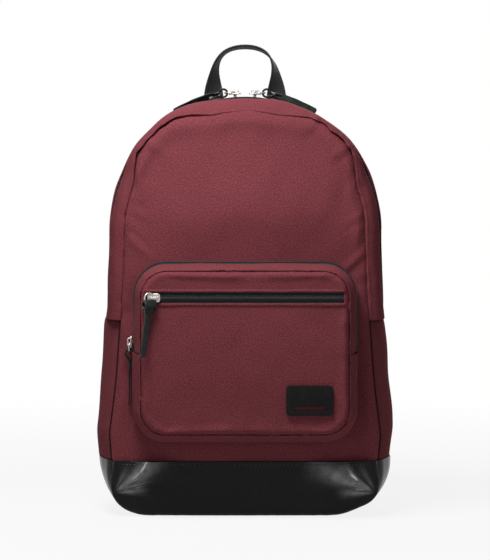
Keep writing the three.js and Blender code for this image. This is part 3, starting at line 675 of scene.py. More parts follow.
def puffOf(station):
    x, z, nx, nz = station
    turn = atan2(max(0, nz), abs(nx))
    shoulder = smooth(0.35, 0.7, turn) * (1 - smooth(1.0, 1.35, turn))
    slope = looks["rightDrop"] * smooth(0.7, 0.95, turn) * (1 - smooth(1.15, 1.4, turn)) if x > 0 else 0
    return looks["shoulder"] * shoulder - looks["topSag"] * smooth(1.2, 1.52, turn) - slope


# The bag is turned a little, so that on the right its zip shows beside the front half of the arch
def turnedOut(station, y):
    x, z, nx, nz = station
    window = smooth(196, 240, z) * (1 - smooth(352, 396, z))
    amount = looks["turnedRight"] if x > 0 else looks["turnedLeft"]
    lean = min(0.25, max(0, y + 1) / 9) if y > -3 else max(-1, (y + 3) / 3.6)
    return amount * window * lean * exp(-(min(0, y + 14) / 16) ** 2)


# How far the creases raise the cloth at a place on the front
def creaseRise(x, z):
    rise = 0
    for startX, startZ, degrees, length, height in seamCreases:
        turn = degrees * pi / 180
        along = (x - startX) * cos(turn) + (z - startZ) * sin(turn)
        across = (z - startZ) * cos(turn) - (x - startX) * sin(turn)
        reach = smooth(-8, 3, along) * (1 - smooth(0.3 * length, length, along))
        rise += height * reach * (exp(-(across / 3.6) ** 2) - 0.6 * exp(-((across - 6) / 4) ** 2))
    return rise


# Woven body
body = {
    "archColumns": 340, "bandRows": 20, "seamRoll": 1.5, "seamDive": 2.2, "ridge": 1.6,
    "shoulderRidge": 0.22, "rearPuff": 2.0, "baseInset": 15.5, "squareness": 13, "topInset": 16.5,
    "cloth": 1.5, "edge": 5.2, "frontFolds": 1.3, "frontSwell": 1.2, "rearFolds": 1.4, "rearPucker": 0.7,
}


def shoulderShare(station):
    turn = atan2(max(0, station[3]), abs(station[2]))
    return smooth(0.36, 0.7, turn) * (1 - smooth(0.95, 1.35, turn))


# How far the front seam lies inside the outline: little at the shoulders, nothing under the base
def seamInset(station):
    z = station[1]
    if z < 60:
        return body["baseInset"] * smooth(0, 60, z) ** 0.8
    turn = atan2(max(0, station[3]), abs(station[2]))
    inset = mix(body["baseInset"], bag["frontInset"], smooth(60, 150, z))
    inset = mix(inset, body["topInset"], smooth(1.2, 1.5, turn))
    return inset - body["squareness"] * shoulderShare(station)


# The band between the main zip and the front seam. It swells forward and rolls into the seam.
def gussetFrontPoint(u, v):
    v = 1 - max(0, 1 - v) ** 1.6
    station = archStation(bag["zipEnd"] + 0.2, u)
    seam = frontSeam(station[1])
    edge = body["edge"]
    shoulder = shoulderShare(station)
    turn = body["ridge"] + body["shoulderRidge"] * shoulder
    y = -edge - (seam - edge) * sin(turn * v) / sin(turn)
    inset = seamInset(station) * v ** 2.4
    run = u * 120
    crease = smooth(0.55, 1, v)
    gathers = wobble(run * 0.45, v * 2, 1) + 0.8 * max(0, wobble(run * 1.3, v, 2)) ** 2
    pucker = looks["pucker"] * crease * gathers * (0.45 + shoulder)
    folds = body["frontFolds"] * sin(pi * v) * wobble(run * 0.16, v * 1.5, 3)
    out = puffOf(station) * (1 - 0.5 * v) + folds - pucker * 0.8
    out += body["frontSwell"] * sin(pi * v) * (1 - smooth(0.75, 1, v)) + turnedOut(station, y)
    # A narrow roll along the seam, which then dives into it
    away = (1 - v) * (seam - edge)
    roll = body["seamRoll"] * exp(-((away - 3.2) / 2.0) ** 2) * (1 + 0.5 * wobble(run * 0.5, 0, 4))
    dive = body["seamDive"] * exp(-away / 1.0) * (0.55 + 0.45 * shoulder)
    x, z, nx, nz = station
    x, z = x - nx * (inset - out), z - nz * (inset - out)
    return (x, y - pucker - roll + dive - creaseRise(x, z) * smooth(0.3, 0.9, v), z)


def gussetRearPoint(u, v):
    station = archStation(bag["zipEnd"] + 0.2, u)
    y = mix(body["edge"], bag["backDepth"] + 0.3, v)
    run = u * 120
    folds = body["rearFolds"] * sin(pi * v) * wobble(run * 0.14, v * 1.2, 5)
    pucker = body["rearPucker"] * smooth(0.7, 1, v) * wobble(run * 0.7, v, 6)
    swell = body["rearPuff"] * sin(pi * min(1, v * 1.05)) ** 0.8
    edge = -0.9 * smooth(0.93, 1, v) + turnedOut(station, y)
    return skinPoint(station, y, puffOf(station) * (1 - v ** 1.6) + folds + swell - pucker + edge)


# The bound seam allowance that closes the seam from behind
def seamTapePoint(u, v):
    station = archStation(bag["baseLine"], u)
    x, z, nx, nz = station
    inset = seamInset(station) + mix(-2.5, 5, v)
    y = mix(2.4, 1.6, v) - frontSeam(z) + 2.2 * shoulderShare(station)
    return (x - nx * inset, y, z - nz * inset)


def foldBlend(piece):
    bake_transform(piece)


def makeGussets():
    inside = (0, -10, 290)
    front = layCloth("front_gusset", body["archColumns"], body["bandRows"], gussetFrontPoint, inside)
    sewn(front, body["cloth"])
    dress(front, burgundyCloth,
          ("gusset_front_upper", "gusset_front_foot_right", "gusset_front_foot_left"))
    foldBlend(front)
    seam = layCloth("front_seam_tape", body["archColumns"], 3, seamTapePoint, inside)
    dress(seam, liningCloth)
    foldBlend(seam)
    rear = layCloth("rear_gusset", body["archColumns"], body["bandRows"] + 4, gussetRearPoint, (0, 30, 290))
    sewn(rear, body["cloth"])
    dress(rear, burgundyCloth, ("gusset_rear",), "bag")


# The front panel in rings round its middle, so that its edge follows the seam
front = {
    "middle": 190, "around": 290, "rings": 40, "bottomShare": 0.24, "tuck": 2.6, "shoulderTuck": 1.6,
    "roll": 1.6, "drape": 1.6, "fineDrape": 0.5, "shoulderFold": 2.4, "bellyWidth": 84,
    "bellyRise": 78, "bellyFall": 29,
}


def panelRim(share):
    low = bag["baseLine"] + bag["seamGap"]
    if share < front["bottomShare"]:
        station = stationAt(distanceOf(low))
        return mix(-1, 1, share / front["bottomShare"]) * (station[0] - seamInset(station) + 0.9), low, 0
    turn = (share - front["bottomShare"]) / (1 - front["bottomShare"])
    start = distanceOf(low)
    station = stationAt(mix(start, 2 * halfLength - start, turn))
    x, z, nx, nz = station
    shoulder = shoulderShare(station)
    inset = seamInset(station) - 0.9 - 0.8 * shoulder
    return x - nx * inset, max(z - nz * inset, low), shoulder


def frontPanelPoint(u, v):
    rimX, rimZ, shoulder = panelRim(u % 1)
    share = 1 - max(0, 1 - v) ** 1.6
    x = rimX * share
    z = mix(front["middle"], rimZ, share)
    away = hypot(rimX - x, rimZ - z)
    onSeam = 1 if u >= front["bottomShare"] else 0
    corner = min(abs(u - front["bottomShare"]), abs(u - 1), 1)
    onSeam *= smooth(0, 0.02, corner)
    # The cloth dives into the seam over its last few millimetres, with small gathers
    tuck = (front["tuck"] + front["shoulderTuck"] * shoulder) * exp(-away / 2.0) * onSeam
    roll = front["roll"] * exp(-((away - 10) / 9) ** 2) * onSeam
    run = u * 150
    unevenness = wobble(run * 0.5, away * 0.05, 11) + 0.5 * wobble(run * 1.6, 0, 12)
    gather = looks["pucker"] * exp(-away / 10) * unevenness
    drape = front["drape"] * wobble(x * 0.016, z * 0.016, 13)
    drape += front["fineDrape"] * wobble(x * 0.045, z * 0.03, 14)
    shoulderFold = front["shoulderFold"] * exp(-away / 30) * wobble(run * 0.22, away * 0.012, 15) * onSeam
    y = frontFace(x, z) + bag["fabric"] * 0.4 + tuck - roll - gather * onSeam
    above = z - looks["bellyHeight"]
    height = front["bellyRise"] if above > 0 else front["bellyFall"]
    belly = looks["belly"] * exp(-(x / front["bellyWidth"]) ** 2 - (above / height) ** 2)
    y += (drape + shoulderFold - belly) * smooth(0, 12, away) - creaseRise(x, z) * onSeam
    return (x, y, z)


def makeFrontPanel():
    panel = layCloth(
        "front_panel", front["around"], front["rings"], frontPanelPoint, (0, 0, 200), flat=True)
    closeSeams(panel, outwards=False)
    sewn(panel, body["cloth"])
    dress(panel, burgundyCloth, ("front_panel_lower", "front_panel_upper"))
    foldBlend(panel)


# The panels under the main zip
sidePanels = {"columns": 44, "rows": 52, "folds": 1.6, "pucker": 0.8}


def sidePanelPoint(turn):
    def point(u, v):
        low, high = bag["baseLine"] + 0.4, bag["zipEnd"] - 0.2
        z = mix(low, high, v)
        x, height, nx, nz = stationAt(distanceOf(z))
        seam = frontSeam(z)
        share = 1 - u
        y = mix(bag["backDepth"] + 0.3, -seam, u)
        forward = smooth(0.82, 1, u)
        y -= 1.0 * sin(pi * forward)
        edgeInset = seamInset((x, height, nx, nz))
        inset = edgeInset * (max(0, -y) / seam) ** 2.4 if y < 0 else bag["backInset"] * (y / 60) ** 2
        inset = mix(inset, edgeInset, smooth(0.9, 1, u))
        folds = sidePanels["folds"] * sin(pi * share) * wobble(u * 2.2, z * 0.02, 21 + turn)
        pucker = sidePanels["pucker"] * smooth(0.75, 1, u) * wobble(z * 0.12, u * 2, 23 + turn)
        edge = -0.8 * smooth(0.95, 1, v) - 0.6 * smooth(0.97, 1, 1 - u)
        out = looks["sidePuff"] * sin(pi * share) + folds + edge - pucker
        return (turn * (x - inset + out), y - 0.5 * pucker, z)
    return point


def makeSides():
    for side, turn in (("right", 1), ("left", -1)):
        columns, rows = sidePanels["columns"], sidePanels["rows"]
        panel = layCloth("side_" + side, columns, rows, sidePanelPoint(turn), (0, 0, 130))
        sewn(panel, body["cloth"])
        dress(panel, burgundyCloth, ("side_panel_" + side,), "bag")


# Coated base
base = {
    "overlap": 0.9, "foldX": 137, "foldZ": 24, "cornerLift": 4.8, "liftX": 116, "liftStart": 84,
    "liftRamp": 38, "upright": 44, "cloth": 1.6, "lip": 2.4, "lipShare": 0.16, "tuck": 2.4, "roll": 1.6,
    "gather": 0.7, "unevenness": 0.7, "swell": 1.1, "sideFolds": 1.0, "frontColumns": 200, "frontRows": 34,
    "sideColumns": 220, "sideRows": 44,
}


# The right lower corner stands a little higher than the left one
def cornerLift(x, z):
    beside = smooth(base["liftStart"], base["liftStart"] + base["liftRamp"], x)
    return base["cornerLift"] * beside * exp(-((x - base["liftX"]) / 30) ** 2) * (1 - smooth(4, 48, z))


# Folds that fan out from the point of each side seam where the base is drawn in.
# Each has a direction, a height, and a width above and below its ridge.
baseFans = {
    -1: ((0.60, 7.0, 0.34, 0.16), (0.20, 3.6, 0.16, 0.12), (1.10, 3.0, 0.22, 0.14),
         (-0.15, 2.0, 0.14, 0.12)),
    1: ((0.50, 7.0, 0.5, 0.2), (0.0, 2.8, 0.2, 0.14), (1.05, 3.0, 0.2, 0.14)),
}


def baseFolds(x, z):
    rise = 0
    for side, fans in baseFans.items():
        dx = base["foldX"] - side * x
        dz = z - base["foldZ"]
        if dx < 0.5:
            continue
        away = hypot(dx, dz)
        angle = atan2(dz, dx)
        reach = smooth(0, 26, away) * (1 - smooth(34, 88, away))
        for middle, height, above, below in fans:
            off = angle - middle
            rise += height * reach * exp(-(off / (above if off > 0 else below)) ** 2)
    return rise


# Painted highlight streaks along the folds, where the coating's gloss is raised: for each, its direction,
# width, strength and length
baseHighlights = {
    -1: ((0.66, 0.17, 0.95, 74), (0.42, 0.10, 0.55, 50), (0.12, 0.13, 0.7, 40), (1.05, 0.12, 0.4, 40)),
    1: ((0.40, 0.15, 0.85, 88), (0.62, 0.09, 0.5, 60), (0.02, 0.13, 0.7, 46), (1.0, 0.12, 0.35, 40)),
}


# Each point of the base gets its share of the painted highlight streaks
def paintBaseHighlights(piece):
    highlightMask = piece.data.attributes.new("highlightMask", "FLOAT", "POINT")
    for vertex, value in zip(piece.data.vertices, highlightMask.data):
        x, z = vertex.co.x / metre, vertex.co.z / metre
        side = 1 if x > 0 else -1
        away = hypot(base["foldX"] - side * x, z - base["foldZ"])
        angle = atan2(z - base["foldZ"], base["foldX"] - side * x)
        total = 0
        for middle, width, strength, length in baseHighlights[side]:
            reach = smooth(2, 12, away) * (1 - smooth(0.4 * length, length, away))
            total += strength * reach * exp(-((angle - middle) / width) ** 2)
        value.value = min(1, total)


def baseFrontPoint(u, v):
    start = distanceOf(bag["baseLine"])
    station = stationAt(mix(-start, start, u))
    inset = max(0, seamInset(station) - 0.7)
    bottom = (station[0] - station[2] * inset, 0, max(0, station[1] - max(0, station[3]) * inset))
    edge = stationAt(start)
    topX = mix(-1, 1, u) * (edge[0] - seamInset(edge) + 0.7)
    share = smooth(0, 1, v) * 0.35 + v * 0.65
    x = mix(bottom[0], topX, v)
    z = mix(bottom[2], bag["baseLine"] + base["overlap"], share)
    away = v * (bag["baseLine"] - bottom[2])
    tuck = base["tuck"] * exp(-away / 2.0)
    roll = base["roll"] * exp(-((away - 7) / 6) ** 2)
    lip = base["overlap"] * smooth(0, 1, v)
    gather = base["gather"] * exp(-away / 6) * wobble(u * 60, 0, 31)
    upright = z + (base["upright"] - z) * smooth(0, 24, z) if z < base["upright"] else z
    y = frontFace(x, upright) - lip + tuck - roll - gather - baseFolds(x, z)
    y += base["unevenness"] * wobble(x * 0.02, z * 0.03, 32)
    return (x, y, z + cornerLift(x, z))


def baseGussetPoint(u, v):
    start = distanceOf(bag["baseLine"] + base["overlap"])
    station = stationAt(mix(-start, start, u))
    x, z, nx, nz = station
    y = mix(-bag["frontDepth"], bag["backDepth"] + 0.3, v)
    inset = 0
    if y < 0:
        inset = seamInset(station) * (-y / bag["frontDepth"]) ** 2.4
        if v < base["lipShare"]:
            y -= base["lip"] * sin(pi * smooth(0, base["lipShare"], v))
    else:
        inset = bag["backInset"] * (y / bag["backDepth"]) ** 2
    lift = max(0, 1 - v / base["lipShare"]) ** 2 * base["lip"]
    swell = base["swell"] * sin(pi * v) * smooth(0, 40, z)
    folds = base["sideFolds"] * sin(pi * v) * wobble(u * 9, v * 3, 34) * smooth(3, 30, z)
    side = inset - swell - folds - base["overlap"] * smooth(30, 57, z)
    outX = x - nx * side
    outZ = max(0.0, z - nz * side) if nz >= 0 else z + lift * -nz
    return (outX, y, outZ + cornerLift(outX, outZ))


def makeBase():
    columns, rows = base["frontColumns"], base["frontRows"]
    face = layCloth("base_front", columns, rows, baseFrontPoint, (0, 0, 40), flat=True)
    closeSeams(face, outwards=False)
    sewn(face, base["cloth"])
    paintBaseHighlights(face)
    dress(face, coatedBase, ("base_front_panel",), "bag")
    columns, rows = base["sideColumns"], base["sideRows"]
    under = layCloth("base_side", columns, rows, baseGussetPoint, (0, 0, 60))
    sewn(under, base["cloth"])
    dress(under, coatedBase, ("base_gusset",), "bag")


makeGussets()
makeFrontPanel()
makeSides()
makeBase()
print("body laid")


# Zips
zips = {
    "pitch": 1.55, "toothLength": 3.4, "toothRadius": 0.72, "toothBevel": 0.3, "toothShift": 1.0,
    "coilHeight": 0.55, "coilGap": 0.6, "tapeHalf": 10.5, "tapeThick": 0.7, "tapeRadius": 139.3,
    "tapeDepth": 2.7, "edgeSag": 2.4,
}


# Half of one coil turn: a rounded bar that crosses the middle, with few faces
def coilTooth():
    deselectAll()
    bpy.ops.mesh.primitive_cylinder_add(
        vertices=6, radius=zips["toothRadius"] * metre, depth=zips["toothLength"] * metre,
        rotation=(pi / 2, 0, 0))
    bpy.ops.object.transform_apply(location=True, rotation=True, scale=True)
    tooth = bpy.context.object
    startEdit(tooth)
    bpy.ops.mesh.bevel(offset=zips["toothBevel"] * metre, segments=1)
    endEdit()
    return tooth


# Places along a run of points and outward ways, at one distance apart
def spaced(run, pitch, shift=0.0):
    found = []
    travelled = 0
    following = shift * pitch
    for (a, outA), (b, outB) in zip(run, run[1:]):
        a, b = Vector(a), Vector(b)
        step = (b - a).length
        while step > 0 and following <= travelled + step:
            share = (following - travelled) / step
            found.append((a.lerp(b, share), (b - a).normalized(), Vector(outA).lerp(Vector(outB), share)))
            following += pitch
        travelled += step
    return found


# Half of the coil, at one side of a run
def coilAlong(name, run, sign):
    shift = 0.5 if sign > 0 else 0.0
    places = []
    for point, along, out in spaced(run, zips["pitch"], shift):
        spot = frameAt(point, along, out)
        across, height = sign * zips["toothShift"] * metre, zips["coilHeight"] * metre
        places.append(spot @ Matrix.Translation((0, across, height)))
    return scatter(name, coilTooth(), places)


# A tape from low to high across a run, lowered by sink(distance across, share along)
def tapePiece(name, run, low, high, sink, inside):
    points = [(Vector(p), Vector(out).normalized()) for p, out in run]
    ways = []
    for k in range(len(points)):
        before, after = points[max(0, k - 1)][0], points[min(len(points) - 1, k + 1)][0]
        ways.append((after - before).normalized())

    def point(u, v):
        k = min(len(points) - 1, round(u * (len(points) - 1)))
        centre, out = points[k]
        across = out.cross(ways[k]).normalized()
        distance = mix(low, high, v)
        return centre + across * distance - out * sink(distance, k / (len(points) - 1))
    tape = layCloth(name, len(points) - 1, 6, point, inside)
    thicken(tape, zips["tapeThick"])
    return tape


# One half of a zip, its tape and its coil, in the place of a solid
def layZipHalf(solid, run, sign, reach, sink, inside, bodyName):
    low, high = sorted((sign * zips["coilGap"], sign * reach))
    tape = tapePiece(solid + "_half_tape", run, low, high, sink, inside)
    coil = coilAlong(solid + "_half_coil", run, sign)
    dress(tape, zipTape, (solid,), bodyName)
    dress(coil, zipCoil, (solid,), bodyName)


# The main zip's line between two heights, or over the top to the same height at the left
def mainRun(fromHeight, toHeight=None, turn=0, steps=240):
    run = []
    start = distanceOf(fromHeight)
    end = 2 * halfLength - start if toHeight is None else distanceOf(toHeight)
    for distance in evenly(start, end, steps):
        x, z, nx, nz = stationAt(distance)
        if turn < 0:
            x, nx = -x, -nx
        depth = zips["tapeDepth"] - turnedOut((x, z, nx, nz), 0)
        run.append(((x - nx * depth, 0, z - nz * depth), (nx, 0, nz)))
    return run


# How far the tape's edges lie below its middle
def edgeSag(distance):
    return zips["edgeSag"] * smooth(4, 9, abs(distance))


def makeMainZip():
    run = mainRun(bag["fold"] + 0.15)

    def sag(distance, share):
        lowered = edgeSag(distance)
        lowered += looks["topSag"] * smooth(3, 6, abs(distance)) * exp(-((share - 0.5) / 0.09) ** 2)
        station = archStation(bag["fold"] + 0.15, share)
        return lowered - turnedOut(station, -distance) + turnedOut(station, 0)

    for solid, sign, bodyName in (("main_zip_front", 1, "front_flap"), ("main_zip_rear", -1, "bag")):
        layZipHalf(solid, run, sign, zips["tapeHalf"], sag, (0, 0, 290), bodyName)
    for side, turn in (("right", 1), ("left", -1)):
        low, high = bag["zipEnd"] + 0.2, bag["fold"] - 0.15
        foot = mainRun(low, high, turn, 48)

        def footSag(distance, share):
            x, z, nx, nz = stationAt(mix(distanceOf(low), distanceOf(high), share))
            station = (turn * x, z, turn * nx, nz)
            return edgeSag(distance) - turnedOut(station, -turn * distance) + turnedOut(station, 0)

        half = zips["tapeHalf"]
        tape = tapePiece("main_zip_foot_tape_" + side, foot, -half, half, footSag, (0, 0, 240))
        coils = [coilAlong("main_zip_foot_coil_" + side, foot, 1), coilAlong("spare", foot, -1)]
        coil = joinPieces("main_zip_foot_coil_" + side, coils)
        dress(tape, zipTape, ("main_zip_foot_" + side,), "bag")
        dress(coil, zipCoil, ("main_zip_foot_" + side,), "bag")


# Front pocket
def pocketRoot(x, z):
    return frontFace(x, z) - pocket["seat"]


pocketSeamY = frontFace(0, pocket["fold"]) - pocket["depth"]


# The pocket's plan as a closed run from the left fold, over the top, and under the bottom
def pocketPlan():
    w, top, bottom = pocket["halfWidth"], pocket["top"], pocket["bottom"]
    rt, rb = pocket["topRadius"], pocket["bottomRadius"]
    corners = ((-w + rt, top - rt, rt, pi), (w - rt, top - rt, rt, pi / 2),
               (w - rb, bottom + rb, rb, 0), (-w + rb, bottom + rb, rb, -pi / 2))
    plan = [(-w, pocket["fold"], -1, 0)]
    for cx, cz, radius, start in corners:
        for k in range(25):
            turn = start - pi / 2 * k / 24
            plan.append((cx + radius * cos(turn), cz + radius * sin(turn), cos(turn), sin(turn)))
    plan.append((-w, pocket["fold"], -1, 0))
    return plan


plan = pocketPlan()
planRuns = [0]
for before, after in zip(plan, plan[1:]):
    planRuns.append(planRuns[-1] + hypot(after[0] - before[0], after[1] - before[1]))


def planAt(distance):
    distance = distance % planRuns[-1]
    k = min(len(plan) - 2, max(0, bisect_left(planRuns, distance) - 1))
    share = (distance - planRuns[k]) / max(1e-9, planRuns[k + 1] - planRuns[k])
    return tuple(mix(a, b, share) for a, b in zip(plan[k], plan[k + 1]))


# How far along the plan its side at the left (turn -1) or right (turn 1) reaches a height
def planDistance(turn, z):
    for k, (x, height, nx, nz) in enumerate(plan):
        if x * turn > 60 and k and ((turn < 0 and height >= z) or (turn > 0 and height <= z)):
            low = plan[k - 1]
            share = (z - low[1]) / ((height - low[1]) or 1e-9)
            return mix(planRuns[k - 1], planRuns[k], share)
    return 0


def pocketReach(station):
    return pocketRoot(station[0], station[1]) - pocketSeamY


def pocketPoint(station, outwards, inwards, rolled=0):
    x, z, nx, nz = station
    share = max(0, min(1, outwards / pocketReach(station)))
    inset = pocket["inset"] * share ** (2 + rolled) + inwards
    return (x - nx * inset, pocketRoot(x, z) - outwards, z - nz * inset)


def pocketFaceHalfWidth(z):
    reach = pocket["halfWidth"] - pocket["inset"]

    def rounded(radius, away):
        inner = radius - pocket["inset"]
        return reach - inner + sqrt(max(0, inner * inner - away * away))
    if z > pocket["top"] - pocket["topRadius"]:
        return rounded(pocket["topRadius"], z - pocket["top"] + pocket["topRadius"])
    if z < pocket["bottom"] + pocket["bottomRadius"]:
        return rounded(pocket["bottomRadius"], pocket["bottom"] + pocket["bottomRadius"] - z)
    return reach


pocketFaceTop = pocket["top"] - pocket["inset"]
pocketFaceBottom = pocket["bottom"] + pocket["inset"]


def pocketFace(x, z):
    across = min(1, abs(x) / pocketFaceHalfWidth(z))
    fall = smooth(24, 90, pocketFaceTop - z)
    rise = smooth(0, 60, z - pocketFaceBottom) * fall
    return pocketSeamY - pocket["faceGap"] - pocket["fabric"] - pocket["crown"] * (1 - across ** 3) * rise


pocketLooks = {
    "sideColumns": 190, "upperRows": 14, "lowerRows": 20, "faceColumns": 280, "faceRings": 46,
    "pucker": 0.9, "folds": 0.9, "puff": 1.3, "sideRoll": 1.9, "sideDive": 2.0, "rollUnevenness": 0.6,
    "faceTuck": 4.4, "faceRoll": 1.3, "faceGather": 1.0, "drape": 0.6, "fineDrape": 0.35,
}


# The side of the pocket from one distance off the bag to its front seam, along part of its plan
def pocketSidePoint(lowOut, startRun, endRun, seed, sunk):
    def point(u, v):
        station = planAt(mix(startRun, endRun, u))
        reach = pocketReach(station)
        run = u * (endRun - startRun) * 0.1
        outwards = mix(lowOut, reach, 1 - max(0, 1 - v) ** 1.4)
        whole = outwards / reach
        rolled = smooth(0.72, 1, whole)
        loose = 1 - smooth(0.95, 1, whole)
        gathers = wobble(run * 0.6, whole, seed) + 0.6 * wobble(run * 1.9, 0, seed + 1)
        pucker = pocketLooks["pucker"] * smooth(0.6, 1, whole) * gathers
        folds = pocketLooks["folds"] * sin(pi * whole) * wobble(run * 0.2, whole * 2, seed + 2)
        puff = pocketLooks["puff"] * sin(pi * whole) - sunk * (1 - smooth(0.35, 0.75, whole))
        uneven = 1 + pocketLooks["rollUnevenness"] * wobble(run * 0.3, 0, seed + 3)
        forward = pocketLooks["sideRoll"] * sin(pi * rolled) * uneven
        forward -= pocketLooks["sideDive"] * exp(-(reach - outwards) / 1.2)
        inwards = pucker * 0.6 * loose - folds - puff
        return pocketPoint(station, outwards + forward + pucker * 0.5 * loose, inwards, 0.6)
    return point


# The tape that binds the pocket's front seam from inside
def pocketSeamTape(name, startRun, endRun, bodyName):
    def point(u, v):
        station = planAt(mix(startRun, endRun, u))
        return pocketPoint(station, pocketReach(station) - pocket["seamTape"] * (1 - v), 1.7, 0.6)
    tape = layCloth(name, 120, 3, point, pocket["middle"])
    thicken(tape, 0.5)
    dress(tape, liningCloth, (), bodyName)


def makePocketSides():
    foldLeft = planDistance(-1, pocket["fold"] + 0.1)
    foldRight = planDistance(1, pocket["fold"] - 0.1)
    columns, inside = pocketLooks["sideColumns"], pocket["middle"]
    start = pocket["zipCentre"] + pocket["openStart"]
    opening = pocketSidePoint(start, foldLeft, foldRight, 41, pocket["sunk"])
    upper = layCloth("pocket_side_upper", columns, pocketLooks["upperRows"], opening, inside)
    sewn(upper, pocket["cloth"])
    dress(upper, burgundyCloth, ("pocket_gusset_upper",), "pocket_flap")
    fixed = pocketSidePoint(0, foldRight, planRuns[-1], 45, 0)
    lower = layCloth("pocket_side_lower", columns, pocketLooks["lowerRows"], fixed, inside)
    sewn(lower, pocket["cloth"])
    dress(lower, burgundyCloth, ("pocket_gusset_lower",), "bag")
    pocketSeamTape("pocket_seam_tape_upper", foldLeft, foldRight, "pocket_flap")
    pocketSeamTape("pocket_seam_tape_lower", foldRight, planRuns[-1], "bag")


# Unevenness round a closed ring, with no step where it closes
def ringWobble(u, reach, seed):
    return wobble(reach * cos(2 * pi * u), reach * sin(2 * pi * u), seed)


# The pocket's face in rings, with the slash cut out along its zip
def pocketFacePoint(u, v):
    station = planAt(u * planRuns[-1])
    rimX, _, rimZ = pocketPoint(station, pocketReach(station), -0.5)
    share = 1 - max(0, 1 - v) ** 1.5
    x = rimX * share
    z = mix(pocket["fold"], rimZ, share)
    away = hypot(rimX - x, rimZ - z)
    tuck = pocketLooks["faceTuck"] * exp(-away / 1.5)
    roll = pocketLooks["faceRoll"] * exp(-((away - 5) / 4.5) ** 2) * (1 + 0.7 * ringWobble(u, 5, 55))
    gathers = ringWobble(u, 10, 51) + 0.5 * ringWobble(u, 30, 52)
    gather = pocketLooks["faceGather"] * exp(-away / 8) * gathers
    drape = pocketLooks["drape"] * wobble(x * 0.02, z * 0.02, 53)
    drape += pocketLooks["fineDrape"] * wobble(x * 0.06, z * 0.05, 54)
    nearSlash = exp(-((z - pocket["slash"]) / 16) ** 2)
    y = pocketFace(x, z) + 0.9 + tuck - roll * (1 - 0.5 * nearSlash) - gather
    return (x, y + drape * smooth(0, 12, away) * (1 - nearSlash), z)


# The opening is cut along straight lines, and the faces inside it are deleted
def cutSlash(piece):
    half = pocket["slashHalfOpening"] * metre
    low, high = pocket["slash"] * metre - half, pocket["slash"] * metre + half
    reach = pocket["slashHalfLength"] * metre
    startEdit(piece)
    for spot, way in (((0, 0, high), (0, 0, 1)), ((0, 0, low), (0, 0, 1)),
                      ((-reach, 0, 0), (1, 0, 0)), ((reach, 0, 0), (1, 0, 0))):
        bpy.ops.mesh.select_all(action="SELECT")
        bpy.ops.mesh.bisect(plane_co=spot, plane_no=way)
    bpy.ops.mesh.select_all(action="DESELECT")
    endEdit()
    for face in piece.data.polygons:
        face.select = low < face.center.z < high and abs(face.center.x) < reach
    bpy.ops.object.mode_set(mode="EDIT")
    bpy.ops.mesh.select_mode(type="FACE")
    bpy.ops.mesh.delete(type="FACE")
    endEdit()


def makePocketFace():
    columns, rings = pocketLooks["faceColumns"], pocketLooks["faceRings"]
    face = layCloth("pocket_face", columns, rings, pocketFacePoint, (0, -60, 172), flat=True)
    closeSeams(face, outwards=False)
    cutSlash(face)
    thicken(face, pocket["cloth"])
    dress(face, burgundyCloth,
          ("pocket_panel_lower", "pocket_panel_middle", "pocket_panel_top"))
    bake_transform(face)


def makePocketZip():
    start = planDistance(-1, pocket["fold"] + 0.2)
    end = planDistance(1, pocket["fold"] + 0.2)
    run = []
    for distance in evenly(start, end, 170):
        station = planAt(distance)
        centre = pocketPoint(station, pocket["zipCentre"], pocket["zipInset"])
        run.append((centre, (station[2], 0, station[3])))

    def sag(distance, share):
        return 1.2 * smooth(3, 7, abs(distance))

    layZipHalf("pocket_zip_rear", run, 1, pocket["rearTape"], sag, pocket["middle"], "bag")
    layZipHalf("pocket_zip_front", run, -1, pocket["frontTape"], sag, pocket["middle"], "pocket_flap")


def makeSlashZip():
    level, reach = pocket["slash"], pocket["slashHalfLength"]
    run = [((x, pocketFace(x, level) + 2.5, level), (0, -1, 0)) for x in evenly(-reach, reach, 60)]
    for solid, sign in (("slash_zip_upper", 1), ("slash_zip_lower", -1)):
        layZipHalf(solid, run, sign, pocket["slashTape"], lambda d, share: 0, (0, -60, 230), "pocket_flap")


makeMainZip()
makePocketSides()
makePocketFace()
makePocketZip()
makeSlashZip()
print("zips and pocket laid")


# Small parts that keep the shape of their solids, with eased edges
def copyNode(name, newName, material, bevel, segments, angle):
    source = frame["nodes"][name]
    piece = bpy.data.objects.new(newName, source.data.copy())
    bpy.context.scene.collection.objects.link(piece)
    closeSeams(piece)
    startEdit(piece)
    bpy.ops.mesh.dissolve_limited(angle_limit=radians(4))
    endEdit()
    easeEdges(piece, bevel, angle, segments)
    dress(piece, material, (name,), source["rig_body"], 40)
    return piece


hardware = {"ringRadius": 5.2, "wire": 0.85, "ringLean": 4.2, "slashTilt": 28}


def jointNamed(name):
    return next(j for j in frame["joints"] if j["name"] == name)


# Where each ring hangs: its hub and its frame, x along the zip and z out of the bag
def sliderFrames():
    frames = {}
    lean = radians(hardware["ringLean"])
    for side, turn in (("left", -1), ("right", 1)):
        hub = jointNamed("main_" + side + "_ring_tilt")["pos_m"]
        along, out = (-turn * cos(lean), 0, sin(lean)), (turn * sin(lean), 0, cos(lean))
        frames["main_" + side] = (hub, along, out, 0)
    frames["pocket"] = (jointNamed("pocket_ring_tilt")["pos_m"], (-0.0002, 0.0214, 0.9998), (-1, 0, 0), 0)
    hub = jointNamed("slash_ring_tilt")["pos_m"]
    frames["slash"] = (hub, (1, 0, 0), (0, -1, 0), hardware["slashTilt"])
    return frames


